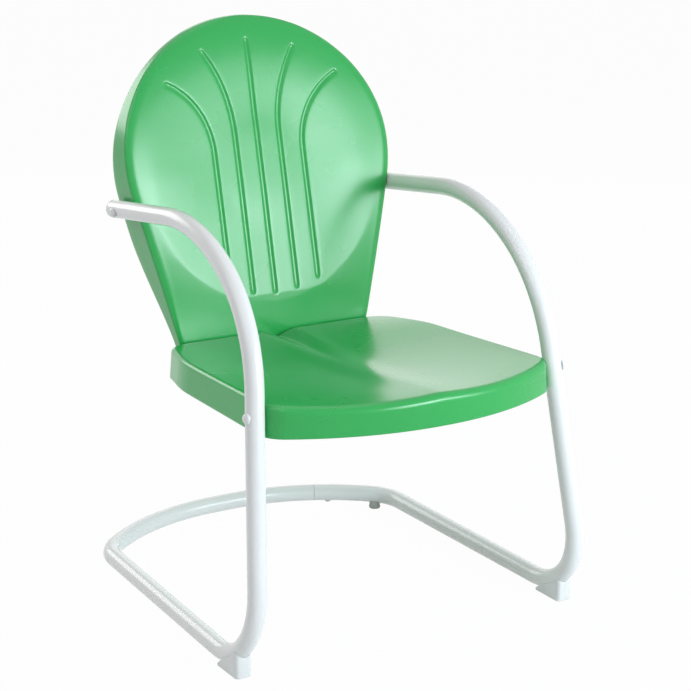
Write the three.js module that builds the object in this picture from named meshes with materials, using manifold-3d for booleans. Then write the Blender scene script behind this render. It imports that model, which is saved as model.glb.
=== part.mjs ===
// A metal lawn chair with a pressed, fluted back, a pressed seat pan and a cantilever
// frame: one bent tube on each side makes arm, leg and runner, and the two meet in
// the crossbar behind. The legs and runners spring a little under the sitter.
// Millimetres, +Z up, the sitter faces -Y. Heights are above the floor, and depths
// grow to the rear from the point where the front legs would meet the runners.
import * as THREE from 'three';
import { mergeVertices } from 'three/addons/utils/BufferGeometryUtils.js';
import Module from 'manifold-3d';

// Sheet, tube and fits
const sheet = 1.2;
const tubeDiameter = 27;
const tubeWall = 1.6;
const fitGap = 0.3;
const searchGap = 0.02;

// Centre line of the right-hand tube: the corners its straight runs would meet in
const armEndBehindRim = 40.1;
const armCornerDepth = 244.1;
const armBelowWidest = 37.7;
const armFall = 6.75;
const armBendRadius = 270.7;
const kneeDepth = 81.8;
const kneeDrop = 107.3;
const kneeBendRadius = 220;
const legSplay = 4.75;
const footHeight = 14.5;
const footBendRadius = 100.6;
const runnerRise = 1;
const runnerToeIn = 1.8;
const rearCornerDepth = 517.4;
const rearBendRadius = 70;
const bowCornerOut = 141.2;
const bowCornerDepth = 621;
const bendClearRun = 2.5;

// The joint in the crossbar lies to the right of the middle
const seamStep = 2;
const spigotRoot = 8;
const spigotWall = 1.5;
const seamGap = 0.6;

// Seat pan: its outline's corners, edge, apron and dished surface
const seatFrontCornerDepth = -91.4;
const seatFrontBow = 410;
const seatShoulderDepth = 47.6;
const seatShoulderRadius = 45;
const seatHalfWidth = 235.2;
const seatFlankDepth = 335;
const seatFlankRadius = 250;
const seatFlankTaper = 16;
const seatRearDepth = 441.7;
const seatRearTaper = 47;
const seatRearRadius = 45;
const seatEdgeRadius = 6;
const apronDepth = 47;
const apronFlare = 3;
const seatHeight = 384.5;
const seatHeightDepth = 70;
const seatFall = 1.5;
const seatRearDropDepth = 330;
const seatRearDrop = 7.5;
const seatDish = 17;
const seatRidge = 3.5;
const seatRidgeWidth = 32;
const seatFrontDip = 4;
const seatGroove = 9;
const seatGrooveWidth = 16;

// Back shell: outline, lean, rounded rim, turned-back flange, dish and flutes
const backHalfWidth = 229;
const backWidestHeight = 638;
const backTopHeight = 840.4;
const backFootRise = 9.73;
const backTaper = 14.4;
const rimBehindFace = 0.9;
const rimLean = 6.8;
const rimTopThrow = 56.3;
const rimStartHeight = 340;
const rollWidth = 17;
const rollWidthAtSeat = 9;
const rollDepth = 6;
const rollDepthAtSeat = 4.5;
const rollGrowthStart = 372;
const rollGrowthEnd = 470;
const flangeAtSeat = 14;
const flangeAtArms = 62;
const flangeAtTop = 8;
const flangeBelowArms = 80.3;
const skirtBulge = 6;
const skirtFadeStart = 480;
const skirtFadeEnd = 650;
const dishCentreHeight = 609;
const dishRadius = 197;
const dishDepth = 11;
const dishRamp = 130;
const dishLipFadeStart = 500;
const dishLipFadeEnd = 620;
const fluteSpacing = 38.5;
const fluteWidth = 11;
const fluteHeight = 3;
const fluteEndFade = 8;
const fluteBottomMargin = 16;
const fluteTopMargin = 14;
const innerFluteTurnHeight = 665;
const innerFluteRadius = 216;
const outerFluteTurnHeight = 640;
const outerFluteRadius = 119;

// Fasteners
const boltDiameter = 6.4;
const boltClearance = 0.8;
const boltHeadDiameter = 15;
const boltHeadHeight = 5;
const boltTip = 3;
const nutAcrossFlats = 11;
const nutHeight = 5;
const washerDiameter = 17;
const washerThickness = 1.4;
const armBoltBehindRim = 18.4;
const seatBoltHeight = 367.6;
const backBoltEdge = 18;
const backBoltSpacing = 72;
const backBoltCount = 4;
const screwDiameter = 4.2;
const screwHeadDiameter = 9;
const screwHeadHeight = 3;
const screwLength = 9;

// Plastic ends, glides and bumpers
const plugFlange = 3;
const plugDome = 6;
const plugLength = 12;
const glideFrontDepth = 45;
const glideRearDepth = 114;
const glideWidth = 25;
const stemDiameter = 8;
const stemLength = 12;
const glideStemDepth = 84;
const bumperDiameter = 19;
const bumperArcShare = 0.9;

// Facets
const tubeSides = 14;
const boltSides = 12;
const arcStep = 14;
const bowStep = 9;
const domeSteps = 3;
const seatColumns = 20;
const seatRows = 12;
const rollSteps = 3;
const skirtRows = 3;
const fluteRows = 8;
const crowdShare = 0.6;
const flutePlaceShares = [-0.5, -0.25, 0, 0.25, 0.5];
const sideColumnShares = [0.4, 0.75];
const rollAngles = [25, 50, 70, 90];
const rimCornerAngle = 20;

const wasm = await Module();
wasm.setup();

const degrees = THREE.MathUtils.degToRad;
const mix = THREE.MathUtils.lerp;
const ease = THREE.MathUtils.smoothstep;
const tubeRadius = tubeDiameter / 2;
const boreRadius = tubeRadius - tubeWall;
const tubeRoomRadius = (tubeRadius + fitGap) / Math.cos(Math.PI / tubeSides);
const up = new THREE.Vector3(0, 0, 1);

// Heights that follow: the arms and the widest flange from the back's widest line, the
// back's foot from the seat.
const armCornerHeight = backWidestHeight - armBelowWidest;
const kneeHeight = armCornerHeight - kneeDrop;
const flangeWidestHeight = armCornerHeight - flangeBelowArms;
const backBottomHeight = edgeHeight(seatRearDepth) - apronDepth + backFootRise;
const backBoltHeight = backBottomHeight + backBoltEdge;

const enamelGreen = { color: 0x3fb068, roughness: 0.22, metalness: 0 };
const enamelWhite = { color: 0xf1f2f0, roughness: 0.2, metalness: 0 };
const plasticWhite = { color: 0xeceeea, roughness: 0.45, metalness: 0 };
const rubberGrey = { color: 0x8b8d8a, roughness: 0.8, metalness: 0 };
const zincPlate = { color: 0xc3c6c8, roughness: 0.35, metalness: 1 };

const chair = new THREE.Group();
const furniture = new THREE.Group();
furniture.add(chair);

// Adds one named sub-part to the chair.
function addPart(name, geometry, finish) {
  const mesh = new THREE.Mesh(geometry, new THREE.MeshStandardMaterial(finish));
  mesh.name = name;
  chair.add(mesh);
  return mesh;
}

// Solid and back again, for the holes and joints.
function toSolid(geometry) {
  const bare = geometry.clone();
  bare.deleteAttribute('normal');
  bare.deleteAttribute('uv');
  const merged = mergeVertices(bare);
  const vertProperties = new Float32Array(merged.attributes.position.array);
  const triVerts = new Uint32Array(merged.index.array);
  return new wasm.Manifold(new wasm.Mesh({ numProp: 3, vertProperties, triVerts }));
}

function toGeometry(solid) {
  const mesh = solid.getMesh();
  const geometry = new THREE.BufferGeometry();
  geometry.setAttribute('position', new THREE.BufferAttribute(mesh.vertProperties, 3));
  geometry.setIndex(new THREE.BufferAttribute(mesh.triVerts, 1));
  geometry.computeVertexNormals();
  return geometry;
}

function cutFrom(geometry, cutters) {
  let solid = toSolid(geometry);
  for (const cutter of cutters) solid = solid.subtract(toSolid(cutter));
  return toGeometry(solid);
}

// A line that runs straight between corners and round them in arcs.
function bentLine(corners) {
  const pieces = [];
  let start = corners[0].at;
  for (let i = 1; i < corners.length - 1; i += 1) {
    const { at, bend, step } = corners[i];
    const into = at.clone().sub(corners[i - 1].at).normalize();
    const away = corners[i + 1].at.clone().sub(at).normalize();
    const turn = into.angleTo(away);
    const setback = bend * Math.tan(turn / 2);
    const side = away.clone().addScaledVector(into, -into.dot(away)).normalize();
    const arcStart = at.clone().addScaledVector(into, -setback);
    const parts = Math.ceil(turn / degrees(step));
    pieces.push(straightPiece(start, arcStart));
    pieces.push({ start: arcStart, into, side, bend, length: bend * turn, parts });
    start = at.clone().addScaledVector(away, setback);
  }
  pieces.push(straightPiece(start, corners.at(-1).at));
  return pieces;
}

function straightPiece(start, end) {
  const into = end.clone().sub(start).normalize();
  return { start, into, side: into, bend: 0, length: start.distanceTo(end), parts: 1 };
}

function lineLength(pieces) {
  return pieces.reduce((sum, piece) => sum + piece.length, 0);
}

// The point and heading at a distance along a bent line.
function alongLine(pieces, distance) {
  let rest = distance;
  let index = 0;
  while (index < pieces.length - 1 && rest > pieces[index].length) {
    rest -= pieces[index].length;
    index += 1;
  }
  const piece = pieces[index];
  const point = piece.start.clone();
  if (piece.bend === 0) {
    point.addScaledVector(piece.into, rest);
    return { point, heading: piece.into.clone() };
  }
  const angle = rest / piece.bend;
  point.addScaledVector(piece.into, piece.bend * Math.sin(angle));
  point.addScaledVector(piece.side, piece.bend * (1 - Math.cos(angle)));
  const heading = piece.into.clone().multiplyScalar(Math.cos(angle));
  heading.addScaledVector(piece.side, Math.sin(angle));
  return { point, heading };
}

// Where rings are needed between two distances: at both, and at every step of an arc.
function ringDistances(pieces, from, to) {
  const distances = [from];
  let start = 0;
  for (const piece of pieces) {
    for (let part = 0; part < piece.parts; part += 1) {
      const distance = start + piece.length * part / piece.parts;
      if (distance > from + sheet && distance < to - sheet) distances.push(distance);
    }
    start += piece.length;
  }
  distances.push(to);
  return distances;
}

// A stretch of a bent line as a curve whose even steps are its rings.
class Stretch extends THREE.Curve {
  constructor(pieces, from, to) {
    super();
    this.stations = ringDistances(pieces, from, to).map((distance) => alongLine(pieces, distance));
    this.steps = this.stations.length - 1;
  }

  getPointAt(share) {
    return this.stations[Math.round(share * this.steps)].point.clone();
  }

  getTangentAt(share) {
    return this.stations[Math.round(share * this.steps)].heading.clone();
  }
}

function pipe(pieces, from, to, outerRadius, innerRadius) {
  const section = new THREE.Shape().absarc(0, 0, outerRadius, 0, 2 * Math.PI);
  if (innerRadius > 0) section.holes.push(new THREE.Path().absarc(0, 0, innerRadius, 0, 2 * Math.PI));
  const path = new Stretch(pieces, from, to);
  const curveSegments = tubeSides / 2;
  return new THREE.ExtrudeGeometry(section, { steps: path.steps, extrudePath: path, curveSegments });
}

// Depth and height relations of the frame.
function armHeight(depth) {
  return armCornerHeight - (depth - armCornerDepth) * Math.tan(degrees(armFall));
}

function runnerHeight(depth) {
  return footHeight + depth * Math.tan(degrees(runnerRise));
}

function legDepth(height) {
  return kneeDepth * (height - footHeight) / (kneeHeight - footHeight);
}

function legCentre(height) {
  const out = legTouch.x + (legTouch.z - height) * Math.tan(degrees(legSplay));
  return new THREE.Vector3(out, legDepth(height), height);
}

function runnerPoint(depth) {
  const out = legCentre(footHeight).x - depth * Math.tan(degrees(runnerToeIn));
  return new THREE.Vector3(out, depth, runnerHeight(depth));
}

// Outline of the back: a half ellipse above its widest line, an arc below it and a
// straight taper to the seat. Inset runs inwards, place from 0 at the foot to 1 on top.
const taper = degrees(backTaper);
const backRise = backTopHeight - backWidestHeight;

function taperTangent(inset) {
  const radius = backHalfWidth - inset;
  return new THREE.Vector2(radius * Math.cos(taper), backWidestHeight - radius * Math.sin(taper));
}

function taperFoot(inset) {
  const tangent = taperTangent(inset);
  return new THREE.Vector2(tangent.x - (tangent.y - backBottomHeight) * Math.tan(taper), backBottomHeight);
}

const taperLength = taperTangent(0).distanceTo(taperFoot(0));
const lowerArcLength = backHalfWidth * taper;
const upperArcLength = (backHalfWidth + backRise) / 2 * Math.PI / 2;
const sideLength = taperLength + lowerArcLength + upperArcLength;

function rimPoint(place, inset) {
  const distance = place * sideLength;
  if (distance <= taperLength) return taperFoot(inset).lerp(taperTangent(inset), distance / taperLength);
  const radius = backHalfWidth - inset;
  if (distance <= taperLength + lowerArcLength) {
    const angle = taper * ((distance - taperLength) / lowerArcLength - 1);
    return new THREE.Vector2(radius * Math.cos(angle), backWidestHeight + radius * Math.sin(angle));
  }
  const angle = (distance - taperLength - lowerArcLength) / upperArcLength * Math.PI / 2;
  const height = backWidestHeight + (backRise - inset) * Math.sin(angle);
  return new THREE.Vector2(radius * Math.cos(angle), height);
}

// Half the outline's width at a height.
function halfWidthAt(height, inset) {
  const radius = backHalfWidth - inset;
  const above = height - backWidestHeight;
  if (above > 0) return radius * Math.sqrt(Math.max(0, 1 - (above / (backRise - inset)) ** 2));
  const tangent = taperTangent(inset);
  if (height > tangent.y) return Math.sqrt(radius ** 2 - above ** 2);
  return tangent.x - (tangent.y - height) * Math.tan(taper);
}

// Depth of the line where the rounded rim turns into the flange.
const backFaceDepth = seatRearDepth + fitGap;
const rimStartDepth = backFaceDepth + rimBehindFace;

function bendDepth(height) {
  const above = height - rimStartHeight;
  const span = backTopHeight - rimStartHeight;
  const rising = rimStartDepth + above * Math.tan(degrees(rimLean)) + rimTopThrow * (above / span) ** 3;
  return Math.max(backFaceDepth + rollDepthAtSeat, rising);
}

function rollDepthAt(height) {
  return mix(rollDepthAtSeat, rollDepth, ease(height, rollGrowthStart, rollGrowthEnd));
}

function rollWidthAt(height) {
  return mix(rollWidthAtSeat, rollWidth, ease(height, rollGrowthStart, rollGrowthEnd));
}

function flangeDepthAt(height) {
  if (height < flangeWidestHeight) {
    return mix(flangeAtSeat, flangeAtArms, ease(height, backBottomHeight, flangeWidestHeight));
  }
  return mix(flangeAtArms, flangeAtTop, ease(height, flangeWidestHeight, backTopHeight));
}

// How far a place lies inside the dish, a circle that widens upwards to meet the rim.
function insideDish(out, height) {
  const above = Math.max(0, height - dishCentreHeight);
  const below = Math.max(0, dishCentreHeight - height);
  const rise = backTopHeight - rollWidth - dishCentreHeight;
  const widest = (backHalfWidth - rollWidth) / dishRadius;
  const growth = mix(1, widest, ease(above, 0, rise / 2));
  return dishRadius - Math.hypot(out / growth, below, above * dishRadius / rise);
}

// The dish begins with a lip in its lower half and smoothly further up.
function dishShareAt(out, height) {
  const insideShare = THREE.MathUtils.clamp(insideDish(out, height) / dishRamp, 0, 1);
  const lipped = Math.sin(insideShare * Math.PI / 2);
  const smooth = ease(insideShare, 0, 1);
  return mix(lipped, smooth, ease(height, dishLipFadeStart, dishLipFadeEnd));
}

// Depth of the pressed panel inside the rim, without its flutes.
function panelDepth(out, height) {
  const edge = bendDepth(height) - rollDepthAt(height);
  const fade = 1 - ease(height, skirtFadeStart, skirtFadeEnd);
  const bulge = Math.min(edge - backFaceDepth, skirtBulge) * fade;
  const innerHalf = Math.max(sheet, halfWidthAt(height, rollWidthAt(height)));
  const acrossShare = Math.min(1, Math.abs(out) / innerHalf);
  return edge - bulge * (1 - acrossShare ** 3) + dishDepth * dishShareAt(out, height);
}

// A flute's centre line: upright from the foot, then curving outwards.
function flute(number) {
  const turnHeight = number > 1 ? outerFluteTurnHeight : innerFluteTurnHeight;
  const radius = number > 1 ? outerFluteRadius : innerFluteRadius;
  const upright = number > 0 ? turnHeight - backBottomHeight : backTopHeight;
  const offset = number * fluteSpacing;
  return (distance, aside) => {
    const angle = Math.max(0, distance - upright) / radius;
    const out = offset + radius * (1 - Math.cos(angle)) + aside * Math.cos(angle);
    const height = backBottomHeight + Math.min(distance, upright) + (radius - aside) * Math.sin(angle);
    return new THREE.Vector2(out, height);
  };
}

// Rows along a flute's line: the skirt, the lip of the dish, the flute and its ends.
function fluteStops(number) {
  const line = flute(number);
  const lipDrop = Math.sqrt(dishRadius ** 2 - (number * fluteSpacing) ** 2);
  const lip = dishCentreHeight - lipDrop - backBottomHeight;
  let inside = lip;
  let outside = sideLength;
  while (outside - inside > searchGap) {
    const middle = (inside + outside) / 2;
    const point = line(middle, 0);
    const across = point.x / (backHalfWidth - rollWidth);
    const above = Math.max(0, point.y - backWidestHeight) / (backRise - rollWidth);
    if (Math.hypot(across, above) < 1) inside = middle;
    else outside = middle;
  }
  const start = lip + fluteBottomMargin;
  const end = inside - fluteTopMargin;
  const stops = [];
  for (let row = 0; row <= skirtRows; row += 1) stops.push(lip * row / skirtRows);
  stops.push(start);
  for (let row = 0; row <= fluteRows; row += 1) {
    stops.push(mix(start + fluteEndFade, end - fluteEndFade, row / fluteRows));
  }
  stops.push(end, inside);
  return stops;
}

const panelRows = skirtRows + fluteRows + 5;
const firstRaisedRow = skirtRows + 2;
const lastRaisedRow = firstRaisedRow + fluteRows;

// The rim's share of its side at each row, from the foot to the panel's upper corner.
function rimPlaces() {
  const corner = (taperLength + lowerArcLength + upperArcLength * rimCornerAngle / 90) / sideLength;
  const dishReach = (place) => {
    const edge = rimPoint(place, rollWidth);
    return Math.hypot(edge.x, edge.y - dishCentreHeight);
  };
  let lip = 0;
  while (dishReach(lip) > dishRadius + rollWidth) lip += sheet / sideLength;
  const places = [];
  for (let row = 0; row < panelRows; row += 1) {
    const above = (row - skirtRows) / (panelRows - 1 - skirtRows);
    places.push(row <= skirtRows ? lip * row / skirtRows : mix(lip, corner, above));
  }
  return places;
}

// The panel's columns on the right of the middle, each a list of points and lifts.
function panelColumns(places) {
  const columns = [];
  for (const number of [0, 1, 2]) {
    const line = flute(number);
    const stops = fluteStops(number);
    for (const placeShare of flutePlaceShares) {
      if (number === 0 && placeShare < 0) continue;
      const lift = fluteHeight * (1 + Math.cos(2 * Math.PI * placeShare)) / 2;
      const points = stops.map((stop) => line(stop, placeShare * fluteWidth));
      columns.push({ points, lift });
    }
    if (number < 2) columns.push({ points: [], lift: 0 });
  }
  for (const placeShare of sideColumnShares) columns.push({ points: [], lift: 0, placeShare });
  const edge = places.map((place) => {
    const outer = rimPoint(place, 0);
    return rimPoint(place, rollWidthAt(outer.y));
  });
  columns.push({ points: edge, lift: 0 });
  fillColumns(columns);
  return columns;
}

// Columns without points of their own lie between the ones beside them.
function fillColumns(columns) {
  const lastFlute = columns.length - 2 - sideColumnShares.length;
  columns.forEach((column, index) => {
    if (column.points.length > 0) return;
    const isSide = index > lastFlute;
    const before = isSide ? columns[lastFlute] : columns[index - 1];
    const after = isSide ? columns.at(-1) : columns[index + 1];
    const share = isSide ? column.placeShare : 0.5;
    column.points = before.points.map((point, row) => point.clone().lerp(after.points[row], share));
  });
}

// Moves a point of the top row out to the roll's inner edge.
function ontoRim(point) {
  const across = point.x / (backHalfWidth - rollWidth);
  const above = (point.y - backWidestHeight) / (backRise - rollWidth);
  const reach = Math.hypot(across, above);
  return new THREE.Vector2(point.x / reach, backWidestHeight + (point.y - backWidestHeight) / reach);
}

// A closed solid from an open surface of quads, by its thickness behind it.
function pressedSheet(points, quads, thickness) {
  const surface = new THREE.BufferGeometry();
  const faceValues = points.flatMap((point) => point.toArray());
  surface.setAttribute('position', new THREE.Float32BufferAttribute(faceValues, 3));
  const front = quads.flatMap(([a, b, c, d]) => [a, b, c, a, c, d]);
  surface.setIndex(front);
  surface.computeVertexNormals();
  const normal = new THREE.Vector3();
  const behind = points.map((point, index) => {
    normal.fromBufferAttribute(surface.attributes.normal, index);
    return point.clone().addScaledVector(normal, -thickness);
  });
  const shift = points.length;
  const back = [];
  for (let i = 0; i < front.length; i += 3) {
    back.push(front[i + 2] + shift, front[i + 1] + shift, front[i] + shift);
  }
  const solid = new THREE.BufferGeometry();
  const all = points.concat(behind).flatMap((point) => point.toArray());
  solid.setAttribute('position', new THREE.Float32BufferAttribute(all, 3));
  solid.setIndex(front.concat(back, freeEdgeFaces(front, shift)));
  solid.computeVertexNormals();
  return solid;
}

// Faces that close the sheet along each edge that only one triangle uses.
function freeEdgeFaces(front, shift) {
  const used = new Set();
  for (let i = 0; i < front.length; i += 3) {
    for (let k = 0; k < 3; k += 1) used.add(`${front[i + k]} ${front[i + (k + 1) % 3]}`);
  }
  const faces = [];
  for (const edge of used) {
    const [a, b] = edge.split(' ').map(Number);
    if (used.has(`${b} ${a}`)) continue;
    faces.push(b, a, a + shift, b, a + shift, b + shift);
  }
  return faces;
}

// Back shell: panel grid, then rings over the rounded rim and along the flange.
function backShell() {
  const places = rimPlaces();
  const right = panelColumns(places);
  const left = right.slice(1).reverse().map(({ points, lift }) => {
    const mirrored = points.map((point) => new THREE.Vector2(-point.x, point.y));
    return { points: mirrored, lift };
  });
  const columns = left.concat(right);
  const points = [];
  for (let row = 0; row < panelRows; row += 1) {
    for (const column of columns) {
      const flat = row === panelRows - 1 ? ontoRim(column.points[row]) : column.points[row];
      const lift = row >= firstRaisedRow && row <= lastRaisedRow ? column.lift : 0;
      points.push(new THREE.Vector3(flat.x, panelDepth(flat.x, flat.y) - lift, flat.y));
    }
  }
  const width = columns.length;
  const quads = gridQuads(panelRows, width, 0);
  addRim(points, quads, rimLoop(width));
  return pressedSheet(points, quads, sheet);
}

function gridQuads(rows, width, first) {
  const quads = [];
  for (let row = 0; row + 1 < rows; row += 1) {
    for (let column = 0; column + 1 < width; column += 1) {
      const corner = first + row * width + column;
      quads.push([corner, corner + 1, corner + 1 + width, corner + width]);
    }
  }
  return quads;
}

// The panel's edge points from the right foot over the top to the left foot.
function rimLoop(width) {
  const loop = [];
  for (let row = 0; row < panelRows; row += 1) loop.push(row * width + width - 1);
  for (let column = width - 2; column >= 0; column -= 1) loop.push((panelRows - 1) * width + column);
  for (let row = panelRows - 2; row >= 0; row -= 1) loop.push(row * width);
  return loop;
}

function addRim(points, quads, loop) {
  const innerEdge = loop.map((index) => points[index].clone());
  let before = loop;
  const rings = rollAngles.map((angle) => (edge) => rollPoint(edge, degrees(angle)));
  rings.push((edge) => flangePoint(edge));
  for (const ring of rings) {
    const first = points.length;
    innerEdge.forEach((edge) => points.push(ring(edge)));
    const after = loop.map((index, place) => first + place);
    for (let place = 0; place + 1 < loop.length; place += 1) {
      quads.push([before[place], after[place], after[place + 1], before[place + 1]]);
    }
    before = after;
  }
}

// The outline's point beside a point of the rim's inner edge.
function outlineBeside(edge) {
  const side = Math.sign(edge.x);
  const inset = rollWidthAt(edge.z);
  const above = edge.z - backWidestHeight;
  if (above > 0) {
    const out = edge.x * backHalfWidth / (backHalfWidth - inset);
    return new THREE.Vector2(out, backWidestHeight + above * backRise / (backRise - inset));
  }
  const tangent = taperTangent(inset);
  if (edge.z > tangent.y) {
    const grow = backHalfWidth / (backHalfWidth - inset);
    return new THREE.Vector2(edge.x * grow, backWidestHeight + above * grow);
  }
  const share = (edge.z - backBottomHeight) / (tangent.y - backBottomHeight);
  const outer = taperFoot(0).lerp(taperTangent(0), share);
  return new THREE.Vector2(side * outer.x, outer.y);
}

function rollPoint(edge, angle) {
  const outer = outlineBeside(edge);
  const share = 1 - Math.sin(angle);
  const out = mix(outer.x, edge.x, share);
  const height = mix(outer.y, edge.z, share);
  return new THREE.Vector3(out, bendDepth(height) - rollDepthAt(height) * Math.cos(angle), height);
}

function flangePoint(edge) {
  const outer = outlineBeside(edge);
  return new THREE.Vector3(outer.x, bendDepth(outer.y) + flangeDepthAt(outer.y), outer.y);
}

function seatCorner(out, depth, bend, step) {
  return { at: new THREE.Vector3(out, depth, 0), bend, step };
}

// The seat pan's outline, from its front left shoulder round to the middle of the rear.
function seatOutline() {
  const flankOut = seatHalfWidth - seatFlankTaper;
  const rearOut = seatHalfWidth - seatRearTaper;
  return bentLine([
    seatCorner(-seatHalfWidth, seatShoulderDepth, seatShoulderRadius, arcStep),
    seatCorner(0, seatFrontCornerDepth, seatFrontBow, arcStep),
    seatCorner(seatHalfWidth, seatShoulderDepth, seatShoulderRadius, arcStep),
    seatCorner(flankOut, seatFlankDepth, seatFlankRadius, arcStep),
    seatCorner(rearOut, seatRearDepth, seatRearRadius, arcStep),
    seatCorner(0, seatRearDepth, 0, arcStep),
  ]);
}

// Centre of the right shoulder's arc, and the point of the leg beside its top.
function shoulderCentre() {
  const arc = seatOutline()[3];
  return arc.start.clone().addScaledVector(arc.side, arc.bend);
}

function legBesideSeat() {
  const height = seatHeight - seatEdgeRadius;
  const centre = shoulderCentre();
  const reach = seatShoulderRadius + tubeRadius + fitGap;
  const out = centre.x + Math.sqrt(reach ** 2 - (legDepth(height) - centre.y) ** 2);
  return new THREE.Vector3(out, legDepth(height), height);
}

const legTouch = legBesideSeat();

function edgeHeight(depth) {
  const behind = Math.max(0, depth - seatRearDropDepth) / (seatRearDepth - seatRearDropDepth);
  return seatHeight - (depth - seatHeightDepth) * Math.tan(degrees(seatFall)) - seatRearDrop * behind ** 2;
}

const seatFrontDepth = seatFrontCornerDepth + seatFrontBow * (1 / Math.cos(seatBowAngle()) - 1);

function seatBowAngle() {
  return Math.atan2(seatShoulderDepth - seatFrontCornerDepth, seatHalfWidth);
}

// Height of the seat's surface: an edge that falls to the rear, a dish, a ridge along
// the middle of the dish, a front edge that dips on both sides of its middle, and a
// groove in the middle of the rear.
function seatSurface(out, depth) {
  const behindFront = (depth - seatFrontDepth) / (seatRearDepth - seatFrontDepth);
  const depthShare = THREE.MathUtils.clamp(behindFront, 0, 1);
  const acrossShare = Math.min(1, Math.abs(out) / seatHalfWidth);
  const ridgeShare = Math.exp(-((out / seatRidgeWidth) ** 2));
  const dishShare = Math.sin(Math.PI * depthShare ** 1.3) * (1 - acrossShare ** 2);
  const ridge = seatRidge * ridgeShare * dishShare;
  const dip = seatFrontDip * (1 - depthShare) ** 4 * Math.sin(Math.PI * acrossShare);
  const groove = seatGroove * depthShare ** 4 * Math.exp(-((out / seatGrooveWidth) ** 2));
  return edgeHeight(depth) - seatDish * dishShare + ridge - dip - groove;
}

// Shares crowded towards both ends, where the outline's corners are.
function crowded(count) {
  return Array.from({ length: count + 1 }, (unused, index) => {
    const share = index / count;
    return share - crowdShare * Math.sin(2 * Math.PI * share) / (2 * Math.PI);
  });
}

// The outline's loop of points with inward directions, cut at its four corners.
function seatLoop() {
  const pieces = seatOutline();
  const lengths = pieces.map((piece) => piece.length);
  const startOf = (index) => lengths.slice(0, index).reduce((sum, length) => sum + length, 0);
  const middleFront = startOf(1) + lengths[1] / 2;
  const shoulder = startOf(3) + lengths[3] / 2;
  const rear = startOf(7) + lengths[7] / 2;
  const end = lineLength(pieces);
  const at = (distance) => {
    const { point, heading } = alongLine(pieces, distance);
    return { point, inward: new THREE.Vector3(-heading.y, heading.x, 0) };
  };
  const mirrored = ({ point, inward }) => ({
    point: new THREE.Vector3(-point.x, point.y, 0),
    inward: new THREE.Vector3(-inward.x, inward.y, 0),
  });
  const frontShares = crowded(seatColumns).slice(seatColumns / 2);
  const front = frontShares.map((share) => at(mix(2 * middleFront - shoulder, shoulder, share)));
  const side = crowded(seatRows).map((share) => at(mix(shoulder, rear, share)));
  const rearEdge = frontShares.map((share) => at(mix(2 * end - rear, rear, share)));
  return {
    front: front.slice(1).reverse().map(mirrored).concat(front),
    right: side,
    rear: rearEdge.slice(1).reverse().map(mirrored).concat(rearEdge),
    left: side.map(mirrored),
  };
}

function insetPoint({ point, inward }, inset) {
  return point.clone().addScaledVector(inward, inset);
}

// A patch across the four inner edges.
function seatPatch(edges) {
  const points = [];
  const inner = Object.fromEntries(Object.entries(edges).map(([name, edge]) => {
    return [name, edge.map((place) => insetPoint(place, seatEdgeRadius))];
  }));
  for (let row = 0; row <= seatRows; row += 1) {
    for (let column = 0; column <= seatColumns; column += 1) {
      const v = row / seatRows;
      const u = column / seatColumns;
      const point = inner.front[column].clone().multiplyScalar(1 - v);
      point.addScaledVector(inner.rear[column], v);
      point.addScaledVector(inner.left[row], 1 - u).addScaledVector(inner.right[row], u);
      point.addScaledVector(inner.front[0], -(1 - u) * (1 - v));
      point.addScaledVector(inner.front.at(-1), -u * (1 - v));
      point.addScaledVector(inner.rear[0], -(1 - u) * v).addScaledVector(inner.rear.at(-1), -u * v);
      point.z = seatSurface(point.x, point.y);
      points.push(point);
    }
  }
  return points;
}

function seatPan() {
  const edges = seatLoop();
  const points = seatPatch(edges);
  const width = seatColumns + 1;
  const quads = gridQuads(seatRows + 1, width, 0);
  const around = edges.front.slice(0, -1).concat(edges.right.slice(0, -1));
  around.push(...edges.rear.slice(1).reverse(), ...edges.left.slice(1).reverse());
  const loop = [];
  for (let column = 0; column < seatColumns; column += 1) loop.push(column);
  for (let row = 0; row < seatRows; row += 1) loop.push(row * width + seatColumns);
  for (let column = seatColumns; column > 0; column -= 1) loop.push(seatRows * width + column);
  for (let row = seatRows; row > 0; row -= 1) loop.push(row * width);
  const rings = [];
  for (let step = 1; step <= rollSteps; step += 1) {
    rings.push((place, top) => edgeRollPoint(place, top, Math.PI / 2 * step / rollSteps));
  }
  rings.push((place) => apronPoint(place));
  let before = loop;
  for (const ring of rings) {
    const first = points.length;
    around.forEach((place, index) => points.push(ring(place, points[loop[index]].z)));
    const after = loop.map((index, place) => first + place);
    for (let place = 0; place < loop.length; place += 1) {
      const next = (place + 1) % loop.length;
      quads.push([before[place], after[place], after[next], before[next]]);
    }
    before = after;
  }
  return pressedSheet(points, quads, sheet);
}

function edgeRollPoint(place, top, angle) {
  const point = insetPoint(place, seatEdgeRadius * (1 - Math.sin(angle)));
  point.z = top - seatEdgeRadius * (1 - Math.cos(angle));
  return point;
}

function apronPoint(place) {
  const point = insetPoint(place, -apronFlare * Math.abs(place.inward.x));
  point.z = edgeHeight(place.point.y) - apronDepth;
  return point;
}

// Fastener shapes, each along +Z of its own frame.
function turned(profile, sides) {
  const outline = profile.map(([radius, height]) => new THREE.Vector2(radius, height));
  return new THREE.LatheGeometry(outline, sides).rotateX(Math.PI / 2);
}

function domedBolt(shankLength) {
  const profile = [[0, -shankLength], [boltDiameter / 2, -shankLength], [boltDiameter / 2, 0]];
  for (let step = 0; step < domeSteps; step += 1) {
    const angle = Math.PI / 2 * step / domeSteps;
    profile.push([boltHeadDiameter / 2 * Math.cos(angle), boltHeadHeight * Math.sin(angle)]);
  }
  profile.push([0, boltHeadHeight]);
  return turned(profile, boltSides);
}

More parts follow.
